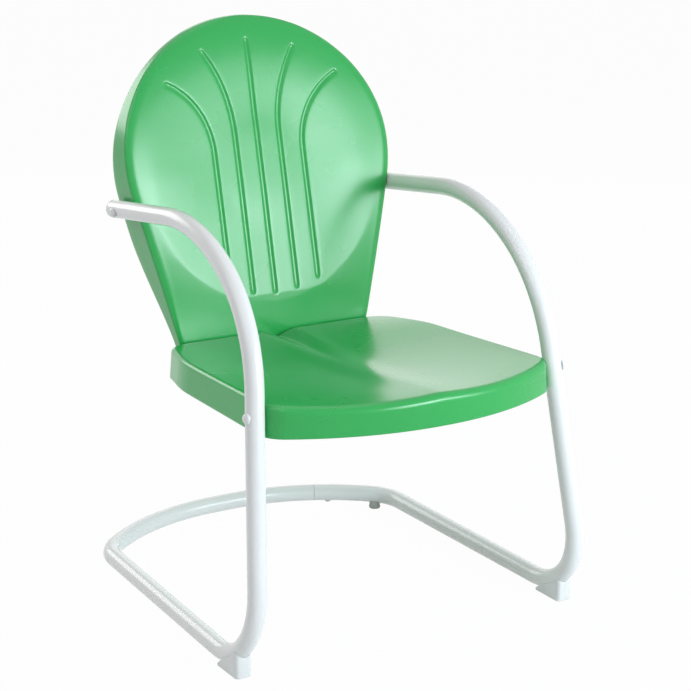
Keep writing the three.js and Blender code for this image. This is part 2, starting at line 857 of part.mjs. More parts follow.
function washer() {
  const inner = boltDiameter / 2 + fitGap;
  const outer = washerDiameter / 2;
  const profile = [[inner, 0], [outer, 0], [outer, washerThickness], [inner, washerThickness], [inner, 0]];
  return turned(profile, boltSides);
}

function hexNut() {
  const shape = new THREE.Shape();
  const corner = nutAcrossFlats / 2 / Math.cos(Math.PI / 6);
  for (let side = 0; side < 6; side += 1) {
    const angle = Math.PI / 3 * side;
    const at = [corner * Math.cos(angle), corner * Math.sin(angle)];
    if (side === 0) shape.moveTo(...at);
    else shape.lineTo(...at);
  }
  shape.closePath();
  shape.holes.push(new THREE.Path().absarc(0, 0, boltDiameter / 2 + fitGap, 0, 2 * Math.PI));
  const curveSegments = boltSides / 2;
  return new THREE.ExtrudeGeometry(shape, { depth: nutHeight, bevelEnabled: false, curveSegments });
}

function panScrew() {
  const head = screwHeadDiameter / 2;
  const shank = screwDiameter / 2;
  const profile = [[0, -screwLength], [shank, -screwLength], [shank, 0], [head, 0]];
  profile.push([head, screwHeadHeight / 2], [head / 2, screwHeadHeight], [0, screwHeadHeight]);
  return turned(profile, boltSides);
}

// A round bar along +Z, centred on the origin.
function roundBar(length, diameter) {
  return new THREE.CylinderGeometry(diameter / 2, diameter / 2, length, boltSides).rotateX(Math.PI / 2);
}

// A place with its own +Z axis, for a fastener and the holes it goes through.
function aimedAt(point, axis) {
  const aim = new THREE.Quaternion().setFromUnitVectors(up, axis.clone().normalize());
  return new THREE.Matrix4().compose(point, aim, new THREE.Vector3(1, 1, 1));
}

function addFastener(name, geometry, place, lift, finish) {
  const mesh = addPart(name, geometry, finish);
  place.decompose(mesh.position, mesh.quaternion, mesh.scale);
  mesh.position.addScaledVector(new THREE.Vector3().setFromMatrixColumn(place, 2), lift);
  return mesh;
}

// Centre line of both tubes as one line, from the right arm's end to the left one's.
const footCorner = legCentre(footHeight);
const rearCorner = runnerPoint(rearCornerDepth);
const bowCorner = new THREE.Vector3(bowCornerOut, bowCornerDepth, runnerHeight(bowCornerDepth));

// The bow's bend takes up the run that the rear corner's bend leaves.
function bowBendRadius() {
  const runner = rearCorner.clone().sub(footCorner);
  const run = bowCorner.clone().sub(rearCorner);
  const rearSetback = rearBendRadius * Math.tan(runner.angleTo(run) / 2);
  const crossing = new THREE.Vector3(-1, 0, 0);
  return (run.length() - rearSetback - bendClearRun) / Math.tan(run.angleTo(crossing) / 2);
}

// Each arm ends, and is bolted, a little behind the rim where it touches the flange.
const flangeTouchDepth = bendDepth(armCornerHeight - rollWidth);
const armEndDepth = flangeTouchDepth + armEndBehindRim;
const armBoltDepth = flangeTouchDepth + armBoltBehindRim;
const flangeTouchHeight = armHeight(flangeTouchDepth);
const armOut = halfWidthAt(flangeTouchHeight, 0) + (tubeRadius + fitGap) / Math.cos(taper);
const rightCorners = [
  { at: new THREE.Vector3(armOut, armEndDepth, armHeight(armEndDepth)), bend: 0, step: arcStep },
  { at: new THREE.Vector3(armOut, armCornerDepth, armCornerHeight), bend: armBendRadius, step: arcStep },
  { at: legCentre(kneeHeight), bend: kneeBendRadius, step: arcStep },
  { at: footCorner, bend: footBendRadius, step: arcStep },
  { at: rearCorner, bend: rearBendRadius, step: arcStep },
  { at: bowCorner, bend: bowBendRadius(), step: bowStep },
];
const leftCorners = rightCorners.slice().reverse().map(({ at, bend, step }) => {
  return { at: new THREE.Vector3(-at.x, at.y, at.z), bend, step };
});
const frameLine = bentLine(rightCorners.concat(leftCorners));
const frameLength = lineLength(frameLine);
const bowStart = lineLength(frameLine.slice(0, 9));
const spigotLength = frameLine[9].length / frameLine[9].parts;
const seam = bowStart + seamStep * spigotLength;

// From the leg's centre to the sheet of the curved shoulder, for a flat washer inside it.
function seatGrip() {
  const flareShare = (seatHeight - seatEdgeRadius - seatBoltHeight) / (apronDepth - seatEdgeRadius);
  const hollow = washerDiameter ** 2 / 8 / (seatShoulderRadius - sheet);
  return seatBoltReach.length() - seatShoulderRadius - apronFlare * flareShare + hollow + 2 * fitGap;
}

function mirroredPlace(point, axis, side) {
  const at = new THREE.Vector3(side * point.x, point.y, point.z);
  return aimedAt(at, new THREE.Vector3(side * axis.x, axis.y, axis.z));
}

const armBoltPoint = new THREE.Vector3(armOut, armBoltDepth, armHeight(armBoltDepth));
const armBoltAxis = new THREE.Vector3(Math.cos(taper), 0, -Math.sin(taper));
const seatBoltPoint = legCentre(seatBoltHeight);
const seatBoltReach = seatBoltPoint.clone().sub(shoulderCentre()).setZ(0);
const seatBoltAxis = seatBoltReach.clone().normalize().setZ(Math.tan(degrees(legSplay))).normalize();
const boltHole = boltDiameter + boltClearance;
const crossHoleLength = 4 * tubeRadius;

// The glide's stem enters the bend square to the floor; the bumper's, the runner.
const stemHoleDiameter = stemDiameter + 2 * fitGap;
const glideStemPoint = runnerPoint(glideStemDepth).setZ(0);
const rearBendStart = lineLength(frameLine.slice(0, 7));
const bumperAlong = rearBendStart + bumperArcShare * frameLine[7].length;
const bumperPoint = alongLine(frameLine, bumperAlong).point.setZ(0);
const screwAlong = seam - spigotLength / 2;
const screwCentre = alongLine(frameLine, screwAlong).point;

function frameHoles(side) {
  const armPlace = mirroredPlace(armBoltPoint, armBoltAxis, side);
  const seatPlace = mirroredPlace(seatBoltPoint, seatBoltAxis, side);
  const holes = [armPlace, seatPlace].map((place) => {
    return roundBar(crossHoleLength, boltHole).applyMatrix4(place);
  });
  for (const point of [glideStemPoint, bumperPoint]) {
    const height = runnerHeight(point.y) + (point === glideStemPoint ? tubeWall : 0);
    const hole = roundBar(2 * height, stemHoleDiameter);
    holes.push(hole.translate(side * point.x, point.y, 0));
  }
  return holes;
}

function screwHole(length) {
  const hole = roundBar(length, screwDiameter + 2 * fitGap);
  return hole.translate(screwCentre.x, screwCentre.y, screwCentre.z - tubeRadius);
}

function addFrame() {
  const rightTube = pipe(frameLine, 0, seam, tubeRadius, boreRadius);
  const leftTube = pipe(frameLine, seam + seamGap, frameLength, tubeRadius, boreRadius);
  const spigotRadius = boreRadius - 2 * fitGap;
  const rootStart = seam + seamGap;
  const rootEnd = rootStart + spigotRoot;
  const spigot = pipe(frameLine, seam - spigotLength, rootEnd, spigotRadius, spigotRadius - spigotWall);
  const rootOuter = boreRadius + tubeWall / 2;
  const rootRing = pipe(frameLine, rootStart, rootEnd, rootOuter, spigotRadius - spigotWall / 2);
  const leftSolid = toSolid(leftTube).add(toSolid(rootRing)).add(toSolid(spigot));
  const rightHoles = frameHoles(1).concat(screwHole(tubeRadius));
  const leftHoles = frameHoles(-1).concat(screwHole(tubeRadius));
  addPart('frame_right', cutFrom(rightTube, rightHoles), enamelWhite);
  addPart('frame_left', cutFrom(toGeometry(leftSolid), leftHoles), enamelWhite);
  const screwSeat = screwCentre.clone().setZ(screwCentre.z - tubeRadius);
  addFastener('crossbar_screw', panScrew(), aimedAt(screwSeat, up.clone().negate()), fitGap, zincPlate);
}

function addShells(backBolts) {
  const seatCutters = backBolts.map((place) => roundBar(crossHoleLength, boltHole).applyMatrix4(place));
  const backCutters = seatCutters.slice();
  for (const side of [1, -1]) {
    const cutter = (point, axis) => {
      return roundBar(crossHoleLength, boltHole).applyMatrix4(mirroredPlace(point, axis, side));
    };
    seatCutters.push(cutter(seatBoltPoint, seatBoltAxis));
    backCutters.push(cutter(armBoltPoint, armBoltAxis));
  }
  addPart('seat_pan', cutFrom(seatPan(), seatCutters), enamelGreen);
  addPart('back_shell', cutFrom(backShell(), backCutters), enamelGreen);
}

// A bolt from outside through the tube and the sheet inside it, with washer and nut.
function addTubeBolts(name, point, axis, sheetOffset) {
  for (const [side, sideName] of [[1, 'right'], [-1, 'left']]) {
    const place = mirroredPlace(point, axis, side);
    const washerTop = -sheetOffset - sheet - fitGap;
    const nutTop = washerTop - washerThickness - fitGap;
    const shank = tubeRadius + fitGap - nutTop + nutHeight + boltTip;
    addFastener(`${name}_bolt_${sideName}`, domedBolt(shank), place, tubeRadius + fitGap, zincPlate);
    addFastener(`${name}_washer_${sideName}`, washer(), place, washerTop - washerThickness, zincPlate);
    addFastener(`${name}_nut_${sideName}`, hexNut(), place, nutTop - nutHeight, zincPlate);
  }
}

// The bolts that hold the back's foot to the seat's rear apron, heads to the rear.
function backBoltPlaces() {
  return Array.from({ length: backBoltCount }, (unused, index) => {
    const out = (index - (backBoltCount - 1) / 2) * backBoltSpacing;
    const depth = panelDepth(out, backBoltHeight) + sheet + fitGap;
    return aimedAt(new THREE.Vector3(out, depth, backBoltHeight), new THREE.Vector3(0, 1, 0));
  });
}

function addBackBolts(places) {
  places.forEach((place, index) => {
    const headDepth = place.elements[13];
    const grip = headDepth - seatRearDepth + sheet + fitGap;
    addFastener(`back_bolt_${index + 1}`, domedBolt(grip + nutHeight + boltTip), place, 0, zincPlate);
    addFastener(`back_nut_${index + 1}`, hexNut(), place, -grip - nutHeight, zincPlate);
  });
}

// A push-in plug with a low dome in each arm's open end.
function addArmPlugs() {
  const plugRadius = boreRadius - fitGap;
  const profile = [[0, -plugLength], [plugRadius, -plugLength], [plugRadius, 0]];
  profile.push([tubeRadius, 0], [tubeRadius, plugFlange]);
  for (let step = 1; step < domeSteps; step += 1) {
    const angle = Math.PI / 2 * step / domeSteps;
    profile.push([tubeRadius * Math.cos(angle), plugFlange + plugDome * Math.sin(angle)]);
  }
  profile.push([0, plugFlange + plugDome]);
  for (const [side, sideName] of [[1, 'right'], [-1, 'left']]) {
    const { point, heading } = alongLine(frameLine, side > 0 ? 0 : frameLength);
    const place = aimedAt(point, heading.multiplyScalar(-side));
    addFastener(`arm_plug_${sideName}`, turned(profile, tubeSides), place, fitGap, plasticWhite);
  }
}

// Front glides: a wedge under the foot bend, its top hollowed to the tube.
function addGlides() {
  const bendTop = runnerHeight(glideFrontDepth) + tubeDiameter;
  const outline = new THREE.Shape();
  outline.moveTo(glideFrontDepth, 0);
  outline.lineTo(glideRearDepth, 0);
  outline.lineTo(glideRearDepth, tubeWall);
  outline.lineTo(glideStemDepth, bendTop / 2);
  outline.lineTo(glideFrontDepth, bendTop);
  outline.closePath();
  const wedge = new THREE.ExtrudeGeometry(outline, { depth: glideWidth, bevelEnabled: false });
  const alongRunner = new THREE.Vector3(0, 1, 0);
  const aside = new THREE.Vector3(1, 0, 0);
  wedge.translate(0, 0, -glideWidth / 2);
  wedge.applyMatrix4(new THREE.Matrix4().makeBasis(alongRunner, up, aside));
  wedge.translate(glideStemPoint.x, 0, 0);
  const runnerStart = lineLength(frameLine.slice(0, 4));
  const runnerEnd = runnerStart + frameLine[4].length + frameLine[5].length + tubeDiameter;
  const room = pipe(frameLine, runnerStart, runnerEnd, tubeRoomRadius, 0);
  const stemReach = footHeight + stemLength;
  const stem = roundBar(stemReach, stemDiameter);
  stem.translate(glideStemPoint.x, glideStemPoint.y, stemReach / 2 + tubeWall);
  const solid = toSolid(wedge).subtract(toSolid(room)).add(toSolid(stem));
  const geometry = toGeometry(solid);
  addPart('front_glide_right', geometry, plasticWhite);
  addPart('front_glide_left', mirroredGeometry(geometry), plasticWhite);
}

function mirroredGeometry(geometry) {
  const mirrored = geometry.clone().scale(-1, 1, 1);
  const index = mirrored.index.array;
  for (let i = 0; i < index.length; i += 3) [index[i], index[i + 1]] = [index[i + 1], index[i]];
  mirrored.computeVertexNormals();
  return mirrored;
}

// Rear bumpers: a round foot under each runner, its stem in the tube.
function addBumpers() {
  const radius = bumperDiameter / 2;
  const top = runnerHeight(bumperPoint.y);
  const profile = [[0, 0], [radius - sheet, 0], [radius, sheet], [radius, top], [0, top]];
  const foot = turned(profile, tubeSides).translate(bumperPoint.x, bumperPoint.y, 0);
  const roomEnd = rearBendStart + frameLine[7].length + tubeDiameter;
  const room = pipe(frameLine, rearBendStart - tubeDiameter, roomEnd, tubeRoomRadius, 0);
  const stem = roundBar(top, stemDiameter).translate(bumperPoint.x, bumperPoint.y, top / 2 + sheet);
  const geometry = toGeometry(toSolid(foot).subtract(toSolid(room)).add(toSolid(stem)));
  addPart('rear_bumper_right', geometry, rubberGrey);
  addPart('rear_bumper_left', mirroredGeometry(geometry), rubberGrey);
}

const backBolts = backBoltPlaces();
addShells(backBolts);
addFrame();
addTubeBolts('arm', armBoltPoint, armBoltAxis, (armOut - halfWidthAt(armBoltPoint.z, 0)) * Math.cos(taper));
addTubeBolts('seat', seatBoltPoint, seatBoltAxis, seatGrip());
addBackBolts(backBolts);
addArmPlugs();
addGlides();
addBumpers();

// The origin is on the floor, under the middle of the chair's outline.
const extent = new THREE.Box3().setFromObject(chair);
chair.position.y = -(extent.min.y + extent.max.y) / 2;

export default furniture;
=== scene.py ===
import math

import bpy
from mathutils import Matrix, Quaternion, Vector


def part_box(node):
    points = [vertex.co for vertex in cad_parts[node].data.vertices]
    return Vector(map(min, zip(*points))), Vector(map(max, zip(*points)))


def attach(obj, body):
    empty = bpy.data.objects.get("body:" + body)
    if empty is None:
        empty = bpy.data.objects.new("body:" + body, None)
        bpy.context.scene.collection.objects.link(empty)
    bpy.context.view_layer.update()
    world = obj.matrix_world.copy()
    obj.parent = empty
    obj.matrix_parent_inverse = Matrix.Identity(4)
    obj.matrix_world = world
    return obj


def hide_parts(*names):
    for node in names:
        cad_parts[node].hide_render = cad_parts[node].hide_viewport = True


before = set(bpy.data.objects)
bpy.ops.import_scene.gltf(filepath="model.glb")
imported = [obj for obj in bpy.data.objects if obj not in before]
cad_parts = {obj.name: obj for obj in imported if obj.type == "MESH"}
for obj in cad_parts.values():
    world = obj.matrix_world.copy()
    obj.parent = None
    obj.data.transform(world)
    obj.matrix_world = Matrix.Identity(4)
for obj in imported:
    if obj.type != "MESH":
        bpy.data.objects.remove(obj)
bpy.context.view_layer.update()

bpy.ops.object.select_all(action="DESELECT")
scene = bpy.context.scene
scene.view_settings.view_transform = "Standard"

# The camera stands to the left of the chair's front, a little above its back, and
# looks down at the seat through a long lens.
camera_data = bpy.data.cameras.new("camera")
camera_data.sensor_width = 36.0
camera_data.lens = 107.149
camera_data.clip_end = 100.0
camera = bpy.data.objects.new("camera", camera_data)
scene.collection.objects.link(camera)
camera_right = (0.85549257, -0.51775785, 0.00769876)
camera_up = (0.1333047, 0.23457765, 0.9629139)
camera_back = (-0.50036218, -0.82273941, 0.26969899)
camera_place = (-1.50965, -2.55157, 1.20497)
camera.matrix_world = Matrix((
    *zip(camera_right, camera_up, camera_back, camera_place), (0.0, 0.0, 0.0, 1.0)))
scene.camera = camera


# The floor is a plain pale sweep. It looks almost white to the eye and in the enamel's
# reflections, keeps the chair's shadow, and sends soft light up under the seat.
def node_in(tree, kind, **settings):
    node = tree.nodes.new(kind)
    for name, value in settings.items():
        setattr(node, name, value)
    return node


def seen_directly(tree):
    rays = node_in(tree, "ShaderNodeLightPath")
    first = node_in(tree, "ShaderNodeMath", operation="MAXIMUM")
    second = node_in(tree, "ShaderNodeMath", operation="MAXIMUM")
    tree.links.new(rays.outputs["Is Camera Ray"], first.inputs[0])
    tree.links.new(rays.outputs["Is Glossy Ray"], first.inputs[1])
    tree.links.new(first.outputs[0], second.inputs[0])
    tree.links.new(rays.outputs["Is Transmission Ray"], second.inputs[1])
    return second.outputs[0]


def lit_or_seen(tree, lit, seen, seen_share, output):
    blend = node_in(tree, "ShaderNodeMixShader")
    surface = node_in(tree, output)
    tree.links.new(seen_share, blend.inputs[0])
    tree.links.new(lit.outputs[0], blend.inputs[1])
    tree.links.new(seen.outputs[0], blend.inputs[2])
    tree.links.new(blend.outputs[0], surface.inputs["Surface"])


floor_size = 60.0
floor_drop = 0.0004
floor_glow_share = 0.97
full_white = (1.0, 1.0, 1.0, 1.0)
bpy.ops.mesh.primitive_plane_add(size=floor_size, location=(0.0, 0.0, -floor_drop))
floor = bpy.context.object
floor.name = "floor"
floor_finish = bpy.data.materials.new("pale_floor")
floor_finish.use_nodes = True
tree = floor_finish.node_tree
tree.nodes.clear()
paper = node_in(tree, "ShaderNodeBsdfDiffuse")
paper.inputs["Color"].default_value = (0.78, 0.79, 0.79, 1.0)
glow = node_in(tree, "ShaderNodeEmission")
glow.inputs["Color"].default_value = full_white
glow.inputs["Strength"].default_value = 1.0
glowing = node_in(tree, "ShaderNodeMath", operation="MULTIPLY")
glowing.inputs[1].default_value = floor_glow_share
tree.links.new(seen_directly(tree), glowing.inputs[0])
lit_or_seen(tree, paper, glow, glowing.outputs[0], "ShaderNodeOutputMaterial")
floor.data.materials.append(floor_finish)

# Studio light: a white room all round, a broad cool panel in front on the right, whose
# reflection fills the back, two brighter ones before it, a panel behind that the seat
# mirrors, one that catches the back's flange, and others from the left and overhead.
world = bpy.data.worlds.new("studio")
scene.world = world
world.use_nodes = True
tree = world.node_tree
tree.nodes.clear()
backdrop = node_in(tree, "ShaderNodeBackground")
backdrop.inputs["Color"].default_value = full_white
backdrop.inputs["Strength"].default_value = 1.0
room = node_in(tree, "ShaderNodeBackground")
room.inputs["Color"].default_value = (0.96, 0.98, 1.0, 1.0)
room.inputs["Strength"].default_value = 0.37
lit_or_seen(tree, room, backdrop, seen_directly(tree), "ShaderNodeOutputWorld")


def soft_box(name, place, aim, width, height, power, colour):
    lamp = bpy.data.lights.new(name, "AREA")
    lamp.shape = "RECTANGLE"
    lamp.size = width
    lamp.size_y = height
    lamp.energy = power
    lamp.color = colour
    box = bpy.data.objects.new(name, lamp)
    scene.collection.objects.link(box)
    box.location = place
    box.rotation_euler = (Vector(aim) - Vector(place)).to_track_quat("-Z", "Y").to_euler()


white_light = (1.0, 1.0, 1.0)
cool_light = (0.82, 0.93, 1.0)
soft_box("light_front", (1.45, -2.62, 1.14), (0.0, 0.18, 0.6), 2.4, 1.5, 32.0, cool_light)
soft_box("light_band", (1.47, -2.32, 0.95), (0.0, 0.18, 0.55), 1.25, 0.55, 15.0, cool_light)
soft_box("light_near", (0.82, -2.55, 1.04), (0.0, 0.18, 0.55), 0.9, 0.9, 22.0, cool_light)
soft_box("light_flange", (-1.15, 2.70, 1.60), (-0.2, 0.2, 0.7), 1.5, 1.5, 26.0, white_light)
soft_box("light_behind", (1.75, 2.6, 1.20), (0.0, 0.0, 0.4), 2.4, 1.9, 9.0, white_light)
soft_box("light_left", (-2.3, -0.8, 2.9), (0.0, 0.0, 0.4), 2.8, 2.0, 24.0, white_light)
soft_box("light_above", (0.0, 0.2, 3.2), (0.0, 0.0, 0.3), 1.8, 1.8, 7.0, white_light)


# Frame: two bent steel tubes in white enamel. Each makes arm, leg and runner, and the
# left one runs on through the crossbar behind to a joint beside the right rear bend.
def alone(piece):
    bpy.ops.object.select_all(action="DESELECT")
    piece.select_set(True)
    bpy.context.view_layer.objects.active = piece


def settle(piece):
    alone(piece)
    bpy.ops.object.transform_apply(location=True, rotation=True, scale=True)


def face_outwards(piece):
    alone(piece)
    bpy.ops.object.mode_set(mode="EDIT")
    bpy.ops.mesh.select_all(action="SELECT")
    bpy.ops.mesh.normals_make_consistent(inside=False)
    bpy.ops.object.mode_set(mode="OBJECT")


def smooth(piece, angle):
    alone(piece)
    bpy.ops.object.shade_smooth_by_angle(angle=math.radians(angle))


def select_nothing(kind):
    bpy.ops.object.mode_set(mode="EDIT")
    bpy.ops.mesh.select_all(action="DESELECT")
    bpy.ops.mesh.select_mode(type=kind)
    bpy.ops.object.mode_set(mode="OBJECT")


def select_faces(piece, wanted):
    select_nothing("FACE")
    for face in piece.data.polygons:
        face.select = wanted(face)
    bpy.ops.object.mode_set(mode="EDIT")


def stand_in(piece, node):
    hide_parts(node)
    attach(piece, "root")


def new_finish(name):
    finish = bpy.data.materials.new(name)
    finish.use_nodes = True
    tree = finish.node_tree
    return finish, tree, tree.nodes["Principled BSDF"]


def clouds_in(tree, scale, detail):
    where = node_in(tree, "ShaderNodeTexCoord")
    clouds = node_in(tree, "ShaderNodeTexNoise")
    clouds.inputs["Scale"].default_value = scale
    clouds.inputs["Detail"].default_value = detail
    tree.links.new(where.outputs["Object"], clouds.inputs["Vector"])
    return clouds.outputs["Fac"]


def tint_by(clouds, tree, surface, deep, pale):
    tint = node_in(tree, "ShaderNodeMix", data_type="RGBA")
    tint.inputs["A"].default_value = (*deep, 1.0)
    tint.inputs["B"].default_value = (*pale, 1.0)
    tree.links.new(clouds, tint.inputs["Factor"])
    tree.links.new(tint.outputs["Result"], surface.inputs["Base Color"])


def polish_by(clouds, tree, surface, glossy, dull, low=0.0, high=1.0):
    polish = node_in(tree, "ShaderNodeMapRange")
    polish.inputs["From Min"].default_value = low
    polish.inputs["From Max"].default_value = high
    polish.inputs["To Min"].default_value = glossy
    polish.inputs["To Max"].default_value = dull
    tree.links.new(clouds, polish.inputs["Value"])
    tree.links.new(polish.outputs["Result"], surface.inputs["Roughness"])


def grain_by(clouds, tree, surface, strength, distance):
    grain = node_in(tree, "ShaderNodeBump")
    grain.inputs["Strength"].default_value = strength
    grain.inputs["Distance"].default_value = distance
    tree.links.new(clouds, grain.inputs["Height"])
    tree.links.new(grain.outputs["Normal"], surface.inputs["Normal"])


enamel_spread = 0.03


def enamel(name, deep, pale, gloss):
    finish, tree, paint = new_finish(name)
    paint.inputs["Coat Weight"].default_value = 0.10
    paint.inputs["Coat Roughness"].default_value = 0.12
    pooling = clouds_in(tree, scale=7.0, detail=3.0)
    peel = clouds_in(tree, scale=190.0, detail=1.0)
    tint_by(pooling, tree, paint, deep, pale)
    polish_by(pooling, tree, paint, gloss - enamel_spread, gloss + enamel_spread, low=0.3, high=0.7)
    grain_by(peel, tree, paint, strength=0.015, distance=0.0004)
    return finish


white_enamel = enamel(
    "white_enamel", deep=(0.765, 0.765, 0.76), pale=(0.815, 0.815, 0.81), gloss=0.22)
tube_radius = 0.0135
tube_wall = 0.0016
tube_sides = 40
degrees_a_step = 2.5
least_steps = 4
shortest_run = 0.0004
near_enough = 0.001
arm_bore_depth = 0.030
joint_bore_depth = 0.0005
rear_shift = -0.3045067


# Centre line corners of the right-hand tube, each with the radius of its bend, in order
# from the arm's rear end over the knee, the foot and the runner to the crossbar.
tube_corners = [
    ((0.23388, 0.51848, 0.56782), 0.0),
    ((0.23388, 0.24410, 0.60030), 0.2707),
    ((0.23714, 0.08180, 0.49300), 0.2200),
    ((0.27690, 0.00000, 0.01450), 0.1006),
    ((0.26064, 0.51740, 0.02353), 0.0700),
    ((0.14120, 0.62100, 0.02534), 0.33485),
]
foot_corner, rear_corner, crossbar_corner = 3, 4, 5


def on_side(point, sign):
    return Vector((sign * point[0], point[1], point[2]))


def moved(point):
    return Vector((point[0], point[1] + rear_shift, point[2]))


right_line = [(moved(point), bend) for point, bend in tube_corners]
left_line = [(on_side(point, -1), bend) for point, bend in right_line]
whole_line = right_line + left_line[::-1]


def bend_facts(line, index):
    at, radius = line[index]
    into = (at - line[index - 1][0]).normalized()
    away = (line[index + 1][0] - at).normalized()
    turn = into.angle(away)
    setback = radius * math.tan(turn / 2)
    side = (away - into * into.dot(away)).normalized()
    return {
        "start": at - into * setback,
        "end": at + away * setback,
        "into": into,
        "side": side,
        "turn": turn,
        "centre": at - into * setback + side * radius,
        "axis": into.cross(side),
    }


def open_end(piece, end, inwards, depth):
    select_faces(piece, lambda face: (Vector(face.center) - end).length < near_enough)
    bpy.ops.mesh.inset(thickness=tube_wall)
    bpy.ops.mesh.extrude_region_move(TRANSFORM_OT_translate={"value": inwards * depth})
    bpy.ops.object.mode_set(mode="OBJECT")


def bent_tube(name, line, first, last, start, end_turn, radius=tube_radius):
    heading = (line[first][0] - start).normalized()
    bpy.ops.mesh.primitive_circle_add(
        vertices=tube_sides, radius=radius, fill_type="NGON", location=start,
        rotation=heading.to_track_quat("Z", "Y").to_euler())
    piece = bpy.context.object
    piece.name = name
    settle(piece)
    bpy.ops.object.mode_set(mode="EDIT")
    bpy.ops.mesh.select_all(action="SELECT")
    place = start
    for index in range(first, last + 1):
        bend = bend_facts(line, index)
        if (bend["start"] - place).length > shortest_run:
            bpy.ops.mesh.extrude_region_move(
                TRANSFORM_OT_translate={"value": bend["start"] - place})
        turn = bend["turn"] if index < last or end_turn is None else end_turn
        bpy.ops.mesh.spin(
            steps=max(least_steps, round(math.degrees(turn) / degrees_a_step)), angle=turn,
            center=bend["centre"], axis=-bend["axis"])
        spun = Quaternion(bend["axis"], turn)
        place = bend["centre"] + spun @ (bend["start"] - bend["centre"])
        heading = spun @ bend["into"]
    return piece, place, heading


def frame_tube(name, node, line, last, last_turn):
    arm_end = line[0][0]
    tube, joint, joint_heading = bent_tube(name, line, 1, last, arm_end, last_turn)
    bpy.ops.object.mode_set(mode="OBJECT")
    open_end(tube, arm_end, (line[1][0] - arm_end).normalized(), arm_bore_depth)
    open_end(tube, joint, -joint_heading, joint_bore_depth)
    face_outwards(tube)
    smooth(tube, angle=35)
    tube.data.materials.append(white_enamel)
    stand_in(tube, node)


# The joint lies a share along the crossbar's right-hand bend, with a hairline gap.
joint_share = 0.4
hairline = 0.0006
right_turn = bend_facts(whole_line, crossbar_corner)["turn"] * joint_share
frame_tube("tube_right", "frame_right", whole_line, crossbar_corner, right_turn)

line_from_left = whole_line[::-1]
last_corner = len(whole_line) - 1 - crossbar_corner
left_turn = bend_facts(line_from_left, last_corner)["turn"] * (1 - joint_share)
left_turn -= hairline / line_from_left[last_corner][1]
frame_tube("tube_left", "frame_left", line_from_left, last_corner, left_turn)


# Back: one pressed steel sheet in green enamel, with a shallow round dish, five flutes
# pressed into it that fan out at the top, a rim rolled to the front and a flange behind.
green_enamel = enamel(
    "green_enamel", deep=(0.015, 0.350, 0.068), pale=(0.021, 0.388, 0.082), gloss=0.26)
sheet = 0.0012
half_width = 0.229
widest_height = 0.638
top_height = 0.8404
foot_height = 0.330
taper = math.radians(14.4)
top_rise = top_height - widest_height


def between(low, high, share):
    return low + (high - low) * share


def eased(value, low, high):
    share = min(1.0, max(0.0, (value - low) / (high - low)))
    return share * share * (3 - 2 * share)


def taper_tangent(inset):
    radius = half_width - inset
    return Vector((radius * math.cos(taper), widest_height - radius * math.sin(taper)))


def taper_foot(inset):
    tangent = taper_tangent(inset)
    return Vector((tangent.x - (tangent.y - foot_height) * math.tan(taper), foot_height))


straight_length = (taper_tangent(0) - taper_foot(0)).length
lower_arc = half_width * taper
upper_arc = (half_width + top_rise) / 2 * math.pi / 2
side_length = straight_length + lower_arc + upper_arc


def rim_point(place, inset):
    distance = place * side_length
    if distance <= straight_length:
        return taper_foot(inset).lerp(taper_tangent(inset), distance / straight_length)
    radius = half_width - inset
    if distance <= straight_length + lower_arc:
        angle = taper * ((distance - straight_length) / lower_arc - 1)
        return Vector((radius * math.cos(angle), widest_height + radius * math.sin(angle)))
    angle = (distance - straight_length - lower_arc) / upper_arc * math.pi / 2
    height = widest_height + (top_rise - inset) * math.sin(angle)
    return Vector((radius * math.cos(angle), height))


def half_width_at(height, inset):
    radius = half_width - inset
    above = height - widest_height
    if above > 0:
        return radius * math.sqrt(max(0.0, 1 - (above / (top_rise - inset)) ** 2))
    tangent = taper_tangent(inset)
    if height > tangent.y:
        return math.sqrt(radius ** 2 - above ** 2)
    return tangent.x - (tangent.y - height) * math.tan(taper)


# The sheet stands upright at the foot, then leans back and curls further at the top.
# The rolled edge widens above the foot, and the flange is deepest just below the arms.
face_depth = 0.4420
lean = math.radians(6.8)
lean_height = 0.340
lean_depth = 0.4429
top_curl = 0.0563
roll_foot = 0.009
roll_full = 0.017
roll_foot_depth = 0.0045
roll_full_depth = 0.006
roll_widens_at = 0.372
roll_full_at = 0.470
flange_foot = 0.014
flange_full = 0.062
flange_top = 0.008
flange_full_at = 0.520


def bend_depth(height):
    above = height - lean_height
    leaning = lean_depth + above * math.tan(lean)
    curled = leaning + top_curl * (above / (top_height - lean_height)) ** 3
    return max(face_depth + roll_foot_depth, curled)


def roll_depth(height):
    return between(roll_foot_depth, roll_full_depth, eased(height, roll_widens_at, roll_full_at))


def roll_width(height):
    return between(roll_foot, roll_full, eased(height, roll_widens_at, roll_full_at))


def flange_depth(height):
    if height < flange_full_at:
        return between(flange_foot, flange_full, eased(height, foot_height, flange_full_at))
    return between(flange_full, flange_top, eased(height, flange_full_at, top_height))


dish_height = 0.609
dish_radius = 0.197
dish_depth = 0.011
dish_slope = 0.130
lipped_below = 0.500
soft_above = 0.620
bulge_full = 0.006
bulge_below = 0.480
flat_above = 0.650


def inside_dish(out, height):
    above, below = max(0.0, height - dish_height), max(0.0, dish_height - height)
    rise = top_height - roll_full - dish_height
    growth = between(1.0, (half_width - roll_full) / dish_radius, eased(above, 0.0, rise / 2))
    return dish_radius - math.hypot(out / growth, below, above * dish_radius / rise)


